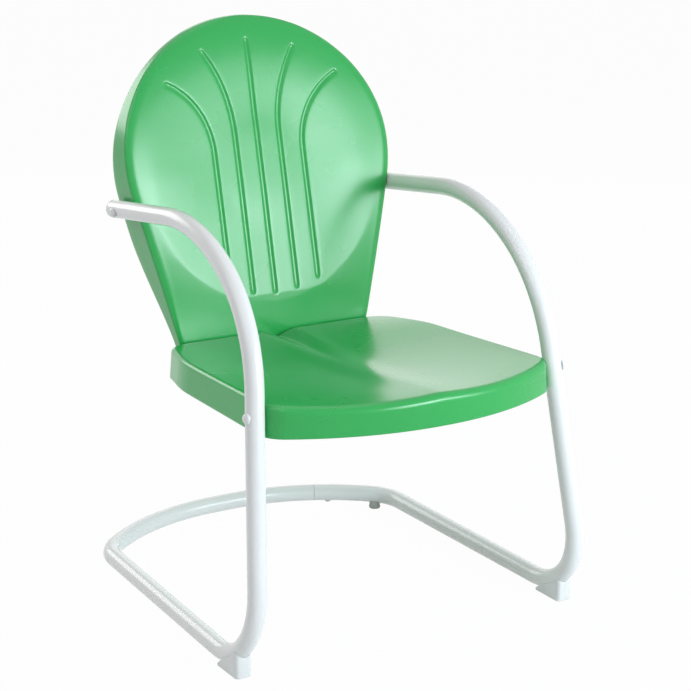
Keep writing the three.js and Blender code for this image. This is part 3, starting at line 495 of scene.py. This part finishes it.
def panel_depth(out, height):
    edge = bend_depth(height) - roll_depth(height)
    bulge = min(edge - face_depth, bulge_full) * (1 - eased(height, bulge_below, flat_above))
    inner_half = max(sheet, half_width_at(height, roll_width(height)))
    across = min(1.0, abs(out) / inner_half)
    inside = min(1.0, max(0.0, inside_dish(out, height) / dish_slope))
    lipped, soft = math.sin(inside * math.pi / 2), eased(inside, 0.0, 1.0)
    dish = between(lipped, soft, eased(height, lipped_below, soft_above))
    return edge - bulge * (1 - across ** 3) + dish_depth * dish


# Flutes are counted outwards from the middle one. Each runs straight up to a height and
# then turns outwards with a radius; the middle one goes straight up all the way.
flute_turns = ((top_height, 0.216), (0.665, 0.216), (0.640, 0.119))
flute_spacing = 0.0385
flute_width = 0.011
flute_depth = 0.0024
flute_fade = 0.008
flute_floor_share = 0.12
flute_edge_share = 0.46
flute_above_lip = 0.010
flute_below_rim = 0.013


def flute_point(number, distance, aside):
    turn_height, radius = flute_turns[number]
    upright = turn_height - foot_height
    angle = max(0.0, distance - upright) / radius
    out = number * flute_spacing + radius * (1 - math.cos(angle)) + aside * math.cos(angle)
    height = foot_height + min(distance, upright) + (radius - aside) * math.sin(angle)
    return Vector((out, height))


def on_inner_rim(point):
    across = point.x / (half_width - roll_full)
    above = max(0.0, point.y - widest_height) / (top_rise - roll_full)
    return math.hypot(across, above)


# Rows run up along the flutes: the skirt, the lip of the dish, a flute's start, its
# length and its end, and the last few up to the rim.
skirt_rows = 12
short_rows = 4
length_rows = 44
search_within = 0.00001


def flute_rows(number):
    drop = math.sqrt(dish_radius ** 2 - (number * flute_spacing) ** 2)
    lip = dish_height - drop - foot_height
    low, high = lip, side_length
    while high - low > search_within:
        middle = (low + high) / 2
        if on_inner_rim(flute_point(number, middle, 0.0)) < 1:
            low = middle
        else:
            high = middle
    start, end = lip + flute_above_lip, low - flute_below_rim
    marks = [(0.0, skirt_rows), (lip, short_rows), (start, short_rows),
             (start + flute_fade, length_rows), (end - flute_fade, short_rows),
             (end, short_rows), (low, 0)]
    rows = []
    for (here, steps), (there, _) in zip(marks, marks[1:]):
        rows += [between(here, there, step / steps) for step in range(steps)]
    rows.append(low)
    return rows, start, end


# The side's rows follow the rim: the lip's row ends where the dish comes nearest to the
# roll, and the top row at a corner partway up the round top.
corner_degrees = 20
lip_search_step = 0.001
rim_corner = (straight_length + lower_arc + upper_arc * corner_degrees / 90) / side_length
rim_lip = 0.0
while (rim_point(rim_lip, roll_full) - Vector((0.0, dish_height))).length > dish_radius + roll_full:
    rim_lip += lip_search_step
outer_rows = flute_rows(len(flute_turns) - 1)[0]
rim_rows = []
for row, distance in enumerate(outer_rows):
    if row <= skirt_rows:
        place = rim_lip * row / skirt_rows
    else:
        climbed = (distance - outer_rows[skirt_rows]) / (outer_rows[-1] - outer_rows[skirt_rows])
        place = between(rim_lip, rim_corner, climbed)
    outline_point = rim_point(place, 0.0)
    rim_rows.append(rim_point(place, roll_width(outline_point.y)))

flute_steps = 8
gap_columns = 4
side_columns = 12
row_count = len(rim_rows)
no_drops = [0.0] * row_count


def flute_columns(number):
    rows, start, end = flute_rows(number)
    built = []
    for step in range(flute_steps + 1):
        share = step / flute_steps - 0.5
        profile = 1 - eased(abs(share), flute_floor_share, flute_edge_share)
        points = [flute_point(number, distance, share * flute_width) for distance in rows]
        drops = [flute_depth * profile * eased(distance, start, start + flute_fade)
                 * (1 - eased(distance, end - flute_fade, end)) for distance in rows]
        built.append((points, drops))
    return built


def columns_between(before, after, count):
    shares = [step / (count + 1) for step in range(1, count + 1)]
    return [([a.lerp(b, share) for a, b in zip(before, after)], no_drops) for share in shares]


right_columns = flute_columns(0)[flute_steps // 2:]
for number in range(1, len(flute_turns)):
    flute = flute_columns(number)
    right_columns += columns_between(right_columns[-1][0], flute[0][0], gap_columns) + flute
right_columns += columns_between(right_columns[-1][0], rim_rows, side_columns - 1)
right_columns.append((rim_rows, no_drops))
columns = [([Vector((-p.x, p.y)) for p in points], drops)
           for points, drops in reversed(right_columns[1:])] + right_columns
column_count = len(columns)

bpy.ops.mesh.primitive_grid_add(
    x_subdivisions=column_count - 1, y_subdivisions=row_count - 1, size=half_width)
back = bpy.context.object
back.name = "back"
for vertex in back.data.vertices:
    row, column = divmod(vertex.index, column_count)
    points, drops = columns[column]
    point = points[row]
    if row == row_count - 1:
        reach = math.hypot(point.x / (half_width - roll_full),
                           (point.y - widest_height) / (top_rise - roll_full))
        point = Vector((point.x / reach, widest_height + (point.y - widest_height) / reach))
    depth = panel_depth(point.x, point.y) + drops[row]
    vertex.co = (point.x, depth + rear_shift, point.y)


# The rim: the panel's edge is drawn out over the roll and back along the flange.
def outline_beside(edge):
    inset = roll_width(edge.z)
    above = edge.z - widest_height
    if above > 0:
        return Vector((edge.x * half_width / (half_width - inset),
                       widest_height + above * top_rise / (top_rise - inset)))
    tangent = taper_tangent(inset)
    if edge.z > tangent.y:
        grow = half_width / (half_width - inset)
        return Vector((edge.x * grow, widest_height + above * grow))
    share = (edge.z - foot_height) / (tangent.y - foot_height)
    outer = taper_foot(0.0).lerp(taper_tangent(0.0), share)
    return Vector((math.copysign(outer.x, edge.x), outer.y))


def roll_point(edge, angle):
    outer = outline_beside(edge)
    share = 1 - math.sin(angle)
    out = between(outer.x, edge.x, share)
    height = between(outer.y, edge.z, share)
    depth = bend_depth(height) - roll_depth(height) * math.cos(angle)
    return Vector((out, depth + rear_shift, height))


def flange_point(edge, share):
    outer = outline_beside(edge)
    depth = bend_depth(outer.y) + flange_depth(outer.y) * share
    return Vector((outer.x, depth + rear_shift, outer.y))


spot_digits = 6


def spot(point):
    return tuple(round(value, spot_digits) for value in point)


def select_edges(piece, wanted):
    select_nothing("EDGE")
    points = piece.data.vertices
    for edge in piece.data.edges:
        edge.select = wanted(points[edge.vertices[0]].co, points[edge.vertices[1]].co)
    bpy.ops.object.mode_set(mode="EDIT")


def draw_out(piece, edge_points, rings):
    for ring in rings:
        select_edges(piece, lambda a, b: spot(a) in edge_points and spot(b) in edge_points)
        bpy.ops.mesh.extrude_region_move(TRANSFORM_OT_translate={"value": (0.0, 0.0, 0.0)})
        bpy.ops.object.mode_set(mode="OBJECT")
        drawn = {}
        for vertex in piece.data.vertices:
            if vertex.select:
                edge = edge_points[spot(vertex.co)]
                vertex.co = ring(edge)
                drawn[spot(vertex.co)] = edge
        edge_points = drawn


def round_angles(steps):
    return [math.pi / 2 * step / steps for step in range(1, steps + 1)]


back_edge = {}
for vertex in back.data.vertices:
    row, column = divmod(vertex.index, column_count)
    if column in (0, column_count - 1) or row == row_count - 1:
        back_edge[spot(vertex.co)] = vertex.co.copy()
roll_steps = 10
flange_shares = (0.1, 0.4, 0.7, 1.0)
rings = [lambda edge, angle=angle: roll_point(edge, angle) for angle in round_angles(roll_steps)]
rings += [lambda edge, share=share: flange_point(edge, share) for share in flange_shares]
draw_out(back, back_edge, rings)


def finish_modifiers(piece):
    alone(piece)
    for modifier in list(piece.modifiers):
        bpy.ops.object.modifier_apply(modifier=modifier.name)


def pressed_sheet(piece, node):
    skin = piece.modifiers.new("sheet", "SOLIDIFY")
    skin.thickness = sheet
    skin.offset = -1.0
    skin.use_even_offset = True
    soft = piece.modifiers.new("pressing", "SUBSURF")
    soft.levels = 1
    soft.render_levels = 1
    finish_modifiers(piece)
    smooth(piece, angle=60)
    piece.data.materials.append(green_enamel)
    stand_in(piece, node)


pressed_sheet(back, "back_shell")


# Seat: one pressed steel sheet in green enamel, dished for the sitter, with a rounded
# edge and an apron turned down all round; bolted between the legs and to the back's foot.
def stretches_of(corners):
    line = [(Vector(point), radius) for point, radius in corners]
    stretches = []
    start = line[0][0]
    for index in range(1, len(line) - 1):
        bend, radius = bend_facts(line, index), line[index][1]
        into = bend["into"]
        stretches.append((start, into, into, 0.0, (bend["start"] - start).length))
        stretches.append((bend["start"], into, bend["side"], radius, radius * bend["turn"]))
        start = bend["end"]
    end = line[-1][0]
    into = (end - start).normalized()
    stretches.append((start, into, into, 0.0, (end - start).length))
    return stretches


def along(stretches, distance):
    for start, into, side, radius, length in stretches[:-1]:
        if distance <= length:
            break
        distance -= length
    else:
        start, into, side, radius, length = stretches[-1]
    if radius == 0.0:
        return start + into * distance, into
    angle = distance / radius
    point = start + into * radius * math.sin(angle) + side * radius * (1 - math.cos(angle))
    return point, into * math.cos(angle) + side * math.sin(angle)


# The outline's corners, seen from above, each with the radius of its round: from the
# left shoulder over the nose in front to the right one, and past the waist to the tail.
seat_half = 0.2352
seat_rear = 0.4417
shoulder_depth = 0.0476
shoulder_round = 0.045
nose_depth = -0.0914
nose_round = 0.410
waist_in = 0.016
waist_depth = 0.335
waist_round = 0.250
tail_in = 0.047
tail_round = 0.045
seat_line = stretches_of([
    ((-seat_half, shoulder_depth), shoulder_round), ((0.0, nose_depth), nose_round),
    ((seat_half, shoulder_depth), shoulder_round),
    ((seat_half - waist_in, waist_depth), waist_round),
    ((seat_half - tail_in, seat_rear), tail_round), ((0.0, seat_rear), 0.0)])
seat_lengths = [length for *_, length in seat_line]


# Straight stretches and rounds take turns along the line, from the straight one before
# the nose, so the nose's, the shoulder's and the tail's round are stretches 1, 3 and 7.
def round_middle(stretch):
    return sum(seat_lengths[:stretch]) + seat_lengths[stretch] / 2


nose, shoulder, tail = round_middle(1), round_middle(3), round_middle(7)
middle_rear = sum(seat_lengths)
seat_front = along(seat_line, nose)[0].y

edge_height = 0.3845
edge_height_at = 0.070
seat_slope = math.radians(1.5)
rear_drop = 0.0075
rear_drop_at = 0.330
seat_dish = 0.017
dish_skew = 1.3
ridge_height = 0.0035
ridge_width = 0.032
front_dip = 0.004
crease_width = 0.030
crease_fall = 1.4
crease_deep = 0.0085
crease_sharp = 0.0022
crease_shares = (0.55, 0.95)


def seat_edge_height(depth):
    behind = max(0.0, depth - rear_drop_at) / (seat_rear - rear_drop_at)
    return edge_height - (depth - edge_height_at) * math.tan(seat_slope) - rear_drop * behind ** 2


def seat_height_at(out, depth):
    share = min(1.0, max(0.0, (depth - seat_front) / (seat_rear - seat_front)))
    across = min(1.0, abs(out) / seat_half)
    dish = math.sin(math.pi * share ** dish_skew) * (1 - across ** 2)
    ridge = ridge_height * math.exp(-(out / ridge_width) ** 2) * dish
    dip = front_dip * (1 - share) ** 4 * math.sin(math.pi * across)
    crease = max(0.0, 1 - abs(out) / crease_width) ** crease_fall
    groove = (crease_deep * share ** 4 + crease_sharp * eased(share, *crease_shares)) * crease
    return seat_edge_height(depth) - seat_dish * dish + ridge - dip - groove


crowding_share = 0.6


def crowded(count):
    return [step / count - crowding_share * math.sin(2 * math.pi * step / count) / (2 * math.pi)
            for step in range(count + 1)]


def edge_places(start, end, shares):
    places = []
    for share in shares:
        point, heading = along(seat_line, between(start, end, share))
        places.append((point, Vector((-heading.y, heading.x))))
    return places


def mirrored(places):
    return [(Vector((-point.x, point.y)), Vector((-inward.x, inward.y)))
            for point, inward in places]


seat_columns = 112
seat_rows = 56
half_shares = crowded(seat_columns)[seat_columns // 2:]
front_half = edge_places(2 * nose - shoulder, shoulder, half_shares)
rear_half = edge_places(2 * middle_rear - tail, tail, half_shares)
front_edge = mirrored(front_half[:0:-1]) + front_half
rear_edge = mirrored(rear_half[:0:-1]) + rear_half
right_side = edge_places(shoulder, tail, crowded(seat_rows))
left_side = mirrored(right_side)
side_round = 0.0065
front_round = 0.0115
apron_drop = 0.047
apron_flare = 0.003


def inset(place, distance):
    return place[0] + place[1] * distance


def edge_round(place):
    return between(side_round, front_round, max(0.0, place[1].y) ** 2)


front_in, rear_in, left_in, right_in = [
    [inset(place, edge_round(place)) for place in edge]
    for edge in (front_edge, rear_edge, left_side, right_side)]
bpy.ops.mesh.primitive_grid_add(
    x_subdivisions=seat_columns, y_subdivisions=seat_rows, size=seat_half)
seat = bpy.context.object
seat.name = "seat"
seat_edges = {}
for vertex in seat.data.vertices:
    row, column = divmod(vertex.index, seat_columns + 1)
    v, u = row / seat_rows, column / seat_columns
    point = front_in[column] * (1 - v) + rear_in[column] * v
    point += left_in[row] * (1 - u) + right_in[row] * u
    point -= (front_in[0] * (1 - u) + front_in[-1] * u) * (1 - v)
    point -= (rear_in[0] * (1 - u) + rear_in[-1] * u) * v
    height = seat_height_at(point.x, point.y)
    vertex.co = (point.x, point.y + rear_shift, height)
    place = None
    if row == 0:
        place = front_edge[column]
    elif row == seat_rows:
        place = rear_edge[column]
    elif column == 0:
        place = left_side[row]
    elif column == seat_columns:
        place = right_side[row]
    if place is not None:
        seat_edges[spot(vertex.co)] = (place, height)


def seat_roll(edge, angle):
    place, height = edge
    radius = edge_round(place)
    point = inset(place, radius * (1 - math.sin(angle)))
    return Vector((point.x, point.y + rear_shift, height - radius * (1 - math.cos(angle))))


def apron(edge, share):
    place, height = edge
    point = inset(place, -apron_flare * abs(place[1].x) * share)
    top = height - edge_round(place)
    low = seat_edge_height(place[0].y) - apron_drop
    return Vector((point.x, point.y + rear_shift, between(top, low, share)))


edge_steps = 6
apron_shares = (0.15, 0.5, 0.85, 1.0)
rings = [lambda edge, angle=angle: seat_roll(edge, angle) for angle in round_angles(edge_steps)]
rings += [lambda edge, share=share: apron(edge, share) for share in apron_shares]
draw_out(seat, seat_edges, rings)
pressed_sheet(seat, "seat_pan")


# Tube bolts: each arm is bolted through the back's flange and each leg through the
# seat's apron. The steel bolts have low dome heads, painted white with the frame.
upwards = Vector((0.0, 0.0, 1.0))
doubles_within = 0.00001


# A plane merged to one point is drawn out along the profile, and the profile spun round.
def turned(name, profile, sides):
    bpy.ops.mesh.primitive_plane_add(size=tube_wall)
    piece = bpy.context.object
    piece.name = name
    bpy.ops.object.mode_set(mode="EDIT")
    bpy.ops.mesh.select_mode(type="VERT")
    bpy.ops.mesh.select_all(action="SELECT")
    bpy.ops.mesh.merge(type="CENTER")
    here = Vector((profile[0][0], 0.0, profile[0][1]))
    bpy.ops.transform.translate(value=here)
    for radius, height in profile[1:]:
        there = Vector((radius, 0.0, height))
        bpy.ops.mesh.extrude_region_move(TRANSFORM_OT_translate={"value": there - here})
        here = there
    bpy.ops.mesh.select_all(action="SELECT")
    bpy.ops.mesh.spin(steps=sides, angle=2 * math.pi, center=(0.0, 0.0, 0.0), axis=upwards)
    bpy.ops.mesh.select_all(action="SELECT")
    bpy.ops.mesh.remove_doubles(threshold=doubles_within)
    bpy.ops.object.mode_set(mode="OBJECT")
    face_outwards(piece)
    smooth(piece, angle=40)
    return piece


def dome(radius, base, height, steps):
    angles = [math.pi / 2 * step / steps for step in range(steps + 1)]
    return [(radius * math.cos(angle), base + height * math.sin(angle)) for angle in angles]


def set_down(pattern, name, place, axis):
    piece = pattern.copy()
    piece.data = pattern.data.copy()
    piece.name = name
    scene.collection.objects.link(piece)
    aim = upwards.rotation_difference(axis)
    piece.matrix_world = Matrix.Translation(place) @ aim.to_matrix().to_4x4()
    settle(piece)
    return piece


bolt_radius = 0.0032
bolt_sides = 28
thread_pitch = 0.0010
thread_depth = 0.0004
thread_turns = 10
head_radius = 0.0075
head_land = 0.0009
head_height = 0.0050
washer_thickness = 0.0014
nut_height = 0.0050
bolt_tip = 0.0030
clearance = 0.0003


def bolt_profile(shank):
    profile = [(0.0, -shank), (bolt_radius - thread_depth, -shank)]
    for turn in range(thread_turns):
        low = turn * thread_pitch - shank
        profile.append((bolt_radius, low + thread_pitch / 2))
        profile.append((bolt_radius - thread_depth, low + thread_pitch))
    profile += [(bolt_radius, thread_turns * thread_pitch + thread_depth - shank)]
    profile += [(bolt_radius, 0.0), (head_radius - thread_depth, 0.0)]
    profile += [(head_radius, thread_depth)]
    return profile + dome(head_radius, head_land, head_height - head_land, steps=8)


# Where each kind of bolt crosses its tube's centre line on the right, its direction
# outwards, and how far inside that point the washer begins.
tube_bolts = {
    "arm": ((0.23388, 0.49678, 0.57039), (0.96858, 0.0, -0.24869), 0.01584),
    "seat": ((0.24756, 0.06036, 0.36760), (0.97627, -0.20012, 0.08281), 0.01717),
}
hand = {"right": 1, "left": -1}
seats_of_nuts = []
for kind, (crossing, direction, grip) in tube_bolts.items():
    head_base = tube_radius + clearance
    washer_base = -grip - washer_thickness
    nut_base = washer_base - clearance - nut_height
    shank = head_base - nut_base + bolt_tip
    pattern = turned(kind + "_bolt_pattern", bolt_profile(shank), bolt_sides)
    pattern.data.materials.append(white_enamel)
    for side, sign in hand.items():
        axis = on_side(direction, sign).normalized()
        at = on_side(moved(crossing), sign)
        bolt = set_down(pattern, f"{kind}_bolt_head_{side}", at + axis * head_base, axis)
        stand_in(bolt, f"{kind}_bolt_{side}")
        seats_of_nuts.append((f"{kind}_washer_{side}", at + axis * washer_base, axis))
        seats_of_nuts.append((f"{kind}_nut_{side}", at + axis * nut_base, axis))
    bpy.data.objects.remove(pattern)


# Washers, nuts and back bolts: zinc-plated steel, inside the flange and the apron, and
# in a row of four where the back's foot is bolted to the seat's rear apron.
zinc_plate, tree, plate = new_finish("zinc_plate")
plate.inputs["Metallic"].default_value = 1.0
spangle = clouds_in(tree, scale=320.0, detail=3.0)
tint_by(spangle, tree, plate, deep=(0.52, 0.545, 0.57), pale=(0.70, 0.715, 0.73))
polish_by(spangle, tree, plate, glossy=0.22, dull=0.46)
grain_by(spangle, tree, plate, strength=0.15, distance=0.0001)

washer_radius = 0.0085
washer_bore = bolt_radius + clearance
washer_edge = 0.0002
washer_profile = [
    (washer_bore, 0.0), (washer_radius - washer_edge, 0.0), (washer_radius, washer_edge),
    (washer_radius, washer_thickness - washer_edge),
    (washer_radius - washer_edge, washer_thickness), (washer_bore, washer_thickness),
    (washer_bore, 0.0)]
washer = turned("washer_pattern", washer_profile, sides=32)
washer.data.materials.append(zinc_plate)


def cut_out(piece, cutter):
    room = piece.modifiers.new("room", "BOOLEAN")
    room.operation = "DIFFERENCE"
    room.solver = "EXACT"
    room.object = cutter
    finish_modifiers(piece)
    bpy.data.objects.remove(cutter)


nut_corner = 0.00635
nut_chamfer = 0.0005
nut_middle = (0.0, 0.0, nut_height / 2)
bpy.ops.mesh.primitive_cylinder_add(
    vertices=6, radius=nut_corner, depth=nut_height, location=nut_middle)
nut = bpy.context.object
nut.name = "nut_pattern"
settle(nut)
select_edges(nut, lambda a, b: abs(a.z - b.z) < nut_height / 2)
bpy.ops.mesh.bevel(offset=nut_chamfer, segments=2, affect="EDGES")
bpy.ops.object.mode_set(mode="OBJECT")
bpy.ops.mesh.primitive_cylinder_add(
    vertices=bolt_sides, radius=bolt_radius + clearance, depth=2 * nut_height, location=nut_middle)
cut_out(nut, bpy.context.object)
smooth(nut, angle=30)
nut.data.materials.append(zinc_plate)
for node, place, axis in seats_of_nuts:
    pattern = nut if "nut" in node else washer
    stand_in(set_down(pattern, node + "_plated", place, axis), node)

back_grip = 0.0033
back_bolt_count = 4
back_shank = back_grip + nut_height + bolt_tip
back_bolt = turned("back_bolt_pattern", bolt_profile(back_shank), bolt_sides)
back_bolt.data.materials.append(zinc_plate)
rearwards = Vector((0.0, 1.0, 0.0))


def middle_of(low, high):
    return [(a + b) / 2 for a, b in zip(low, high)]


for number in range(1, back_bolt_count + 1):
    low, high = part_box(f"back_bolt_{number}")
    middle = middle_of(low, high)
    place = Vector((middle[0], high[1] - head_height, middle[2]))
    bolt = set_down(back_bolt, f"back_bolt_plated_{number}", place, rearwards)
    stand_in(bolt, f"back_bolt_{number}")
    nut_place = place - rearwards * (back_grip + nut_height)
    stand_in(set_down(nut, f"back_nut_plated_{number}", nut_place, rearwards),
             f"back_nut_{number}")
for pattern in (washer, nut, back_bolt):
    bpy.data.objects.remove(pattern)


# Crossbar screw: a white pan-head screw from below, which pins the left tube's spigot
# in the right tube beside the joint.
screw_radius = 0.0021
screw_length = 0.0090
screw_head_radius = 0.0045
screw_head_height = 0.0030
screw_land = 0.0012
recess_length = 0.0052
recess_width = 0.0010
screw_profile = [
    (0.0, -screw_length), (screw_radius, -screw_length + screw_radius), (screw_radius, 0.0),
    (screw_head_radius, 0.0), (screw_head_radius, thread_depth)]
screw_profile += dome(screw_head_radius, screw_land, screw_head_height - screw_land, steps=6)
screw = turned("screw_pattern", screw_profile, sides=24)
for length, breadth in ((recess_length, recess_width), (recess_width, recess_length)):
    bpy.ops.mesh.primitive_cube_add(size=1.0, location=(0.0, 0.0, screw_head_height),
                                    scale=(length, breadth, 2 * recess_width))
    cut_out(screw, bpy.context.object)
screw.data.materials.append(white_enamel)
low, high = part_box("crossbar_screw")
screw_place = Vector((*middle_of(low, high)[:2], low[2] + screw_head_height))
crossbar_screw = set_down(screw, "screw_head", screw_place, -upwards)
stand_in(crossbar_screw, "crossbar_screw")
bpy.data.objects.remove(screw)


# Arm plugs: moulded white plastic, pushed into the arms' open ends up to a collar, with
# a low dome behind it and a narrow groove left open against the tube.
satin_spread = 0.12


def moulded(name, dark, light, low_gloss, grain_scale):
    finish, tree, plastic = new_finish(name)
    flow = clouds_in(tree, scale=60.0, detail=2.0)
    stipple = clouds_in(tree, scale=grain_scale, detail=2.0)
    tint_by(flow, tree, plastic, dark, light)
    polish_by(flow, tree, plastic, low_gloss, low_gloss + satin_spread)
    grain_by(stipple, tree, plastic, strength=0.2, distance=0.0001)
    return finish


white_plastic = moulded(
    "white_plastic", dark=(0.74, 0.745, 0.74), light=(0.81, 0.815, 0.805), low_gloss=0.36,
    grain_scale=1100.0)
plug_length = 0.012
plug_straight = 0.010
plug_lead = 0.0012
plug_groove = 0.0009
plug_edge = 0.0004
plug_collar = 0.0030
plug_dome = 0.0060
plug_radius = tube_radius - tube_wall - clearance
plug_profile = [
    (0.0, -plug_length), (plug_radius - plug_lead, -plug_length), (plug_radius, -plug_straight),
    (plug_radius, 0.0), (plug_radius - plug_groove, plug_groove / 2),
    (plug_radius - plug_groove, plug_groove), (tube_radius - plug_edge, plug_groove),
    (tube_radius, plug_groove + plug_edge)]
plug_profile += dome(tube_radius, plug_collar, plug_dome, steps=12)
plug = turned("plug_pattern", plug_profile, tube_sides)
plug.data.materials.append(white_plastic)
for side, sign in hand.items():
    end, corner = [on_side(point, sign) for point, _ in right_line[:2]]
    outwards = (end - corner).normalized()
    piece = set_down(plug, f"plug_{side}", end + outwards * clearance, outwards)
    stand_in(piece, f"arm_plug_{side}")
bpy.data.objects.remove(plug)


# Front glides: moulded white plastic wedges under the foot bends, with a rounded toe,
# hollowed on top to the tube and lower towards the rear, so that they slide on flat soles.
glide_front, glide_waist, glide_rear = 0.045, 0.080, 0.101
glide_width = 0.025
glide_top = 0.0423
glide_out = 0.27427
glide_tail = 0.0040
toe_round = 0.0060
sole_round = 0.0010


def tube_room(name, corner, lead, tail):
    bend = bend_facts(right_line, corner)
    start = bend["start"] - bend["into"] * lead
    room, _, heading = bent_tube(
        name, right_line, corner, corner, start, None, tube_radius + clearance)
    bpy.ops.mesh.extrude_region_move(TRANSFORM_OT_translate={"value": heading * tail})
    bpy.ops.object.mode_set(mode="OBJECT")
    face_outwards(room)
    return room


def on_both_sides(piece, name, node):
    twin = piece.copy()
    twin.data = piece.data.copy()
    twin.name = f"{name}_left"
    scene.collection.objects.link(twin)
    twin.scale.x = -1.0
    settle(twin)
    face_outwards(twin)
    stand_in(piece, f"{node}_right")
    stand_in(twin, f"{node}_left")


bpy.ops.mesh.primitive_cube_add(
    size=1.0, location=(glide_out, (glide_front + glide_rear) / 2 + rear_shift, glide_top / 2),
    scale=(glide_width, glide_rear - glide_front, glide_top))
glide = bpy.context.object
glide.name = "glide_right"
settle(glide)
bpy.ops.object.mode_set(mode="EDIT")
bpy.ops.mesh.select_all(action="SELECT")
bpy.ops.mesh.bisect(plane_co=(0.0, glide_waist + rear_shift, 0.0), plane_no=(0.0, 1.0, 0.0))


def top_edge_at(depth):
    return lambda a, b: (min(a.z, b.z) > glide_top / 2 and max(
        abs(a.y - rear_shift - depth), abs(b.y - rear_shift - depth)) < near_enough)


select_edges(glide, top_edge_at(glide_rear))
bpy.ops.transform.translate(value=(0.0, 0.0, glide_tail - glide_top))
select_edges(glide, top_edge_at(glide_waist))
bpy.ops.transform.translate(value=(0.0, 0.0, -glide_top / 2))
select_edges(glide, lambda a, b: max(a.y, b.y) < glide_front + rear_shift + near_enough
             and abs(a.z - b.z) > glide_top / 2)
bpy.ops.mesh.bevel(offset=toe_round, segments=5, affect="EDGES")
select_edges(glide, lambda a, b: max(a.z, b.z) < sole_round / 2)
bpy.ops.mesh.bevel(offset=sole_round, segments=3, affect="EDGES")
bpy.ops.object.mode_set(mode="OBJECT")
cut_out(glide, tube_room("glide_room", foot_corner, lead=0.020, tail=0.070))
smooth(glide, angle=35)
glide.data.materials.append(white_plastic)
on_both_sides(glide, "glide", "front_glide")


# Rear bumpers: pale grey moulded feet under the rear bends, each a round cup with a
# thicker lower rim, hollowed on top to the tube.
pale_rubber = moulded(
    "pale_rubber", dark=(0.47, 0.48, 0.46), light=(0.56, 0.57, 0.55), low_gloss=0.50,
    grain_scale=1400.0)
bumper_radius = 0.0095
bumper_neck = 0.0088
bumper_rim = 0.0040
bumper_round = 0.0020
low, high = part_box("rear_bumper_right")
bumper_profile = [(0.0, 0.0)]
bumper_profile += [
    (bumper_radius - bumper_round + across, bumper_round - height)
    for height, across in dome(bumper_round, 0.0, bumper_round, steps=5)]
bumper_profile += [
    (bumper_radius, bumper_rim), (bumper_neck, bumper_rim + bumper_round / 2),
    (bumper_neck, high[2]), (0.0, high[2])]
pattern = turned("bumper_pattern", bumper_profile, sides=36)
bumper_place = Vector((*middle_of(low, high)[:2], 0.0))
bumper = set_down(pattern, "bumper_right", bumper_place, upwards)
bpy.data.objects.remove(pattern)
cut_out(bumper, tube_room("bumper_room", rear_corner, lead=0.030, tail=0.030))
smooth(bumper, angle=40)
bumper.data.materials.append(pale_rubber)
on_both_sides(bumper, "bumper", "rear_bumper")
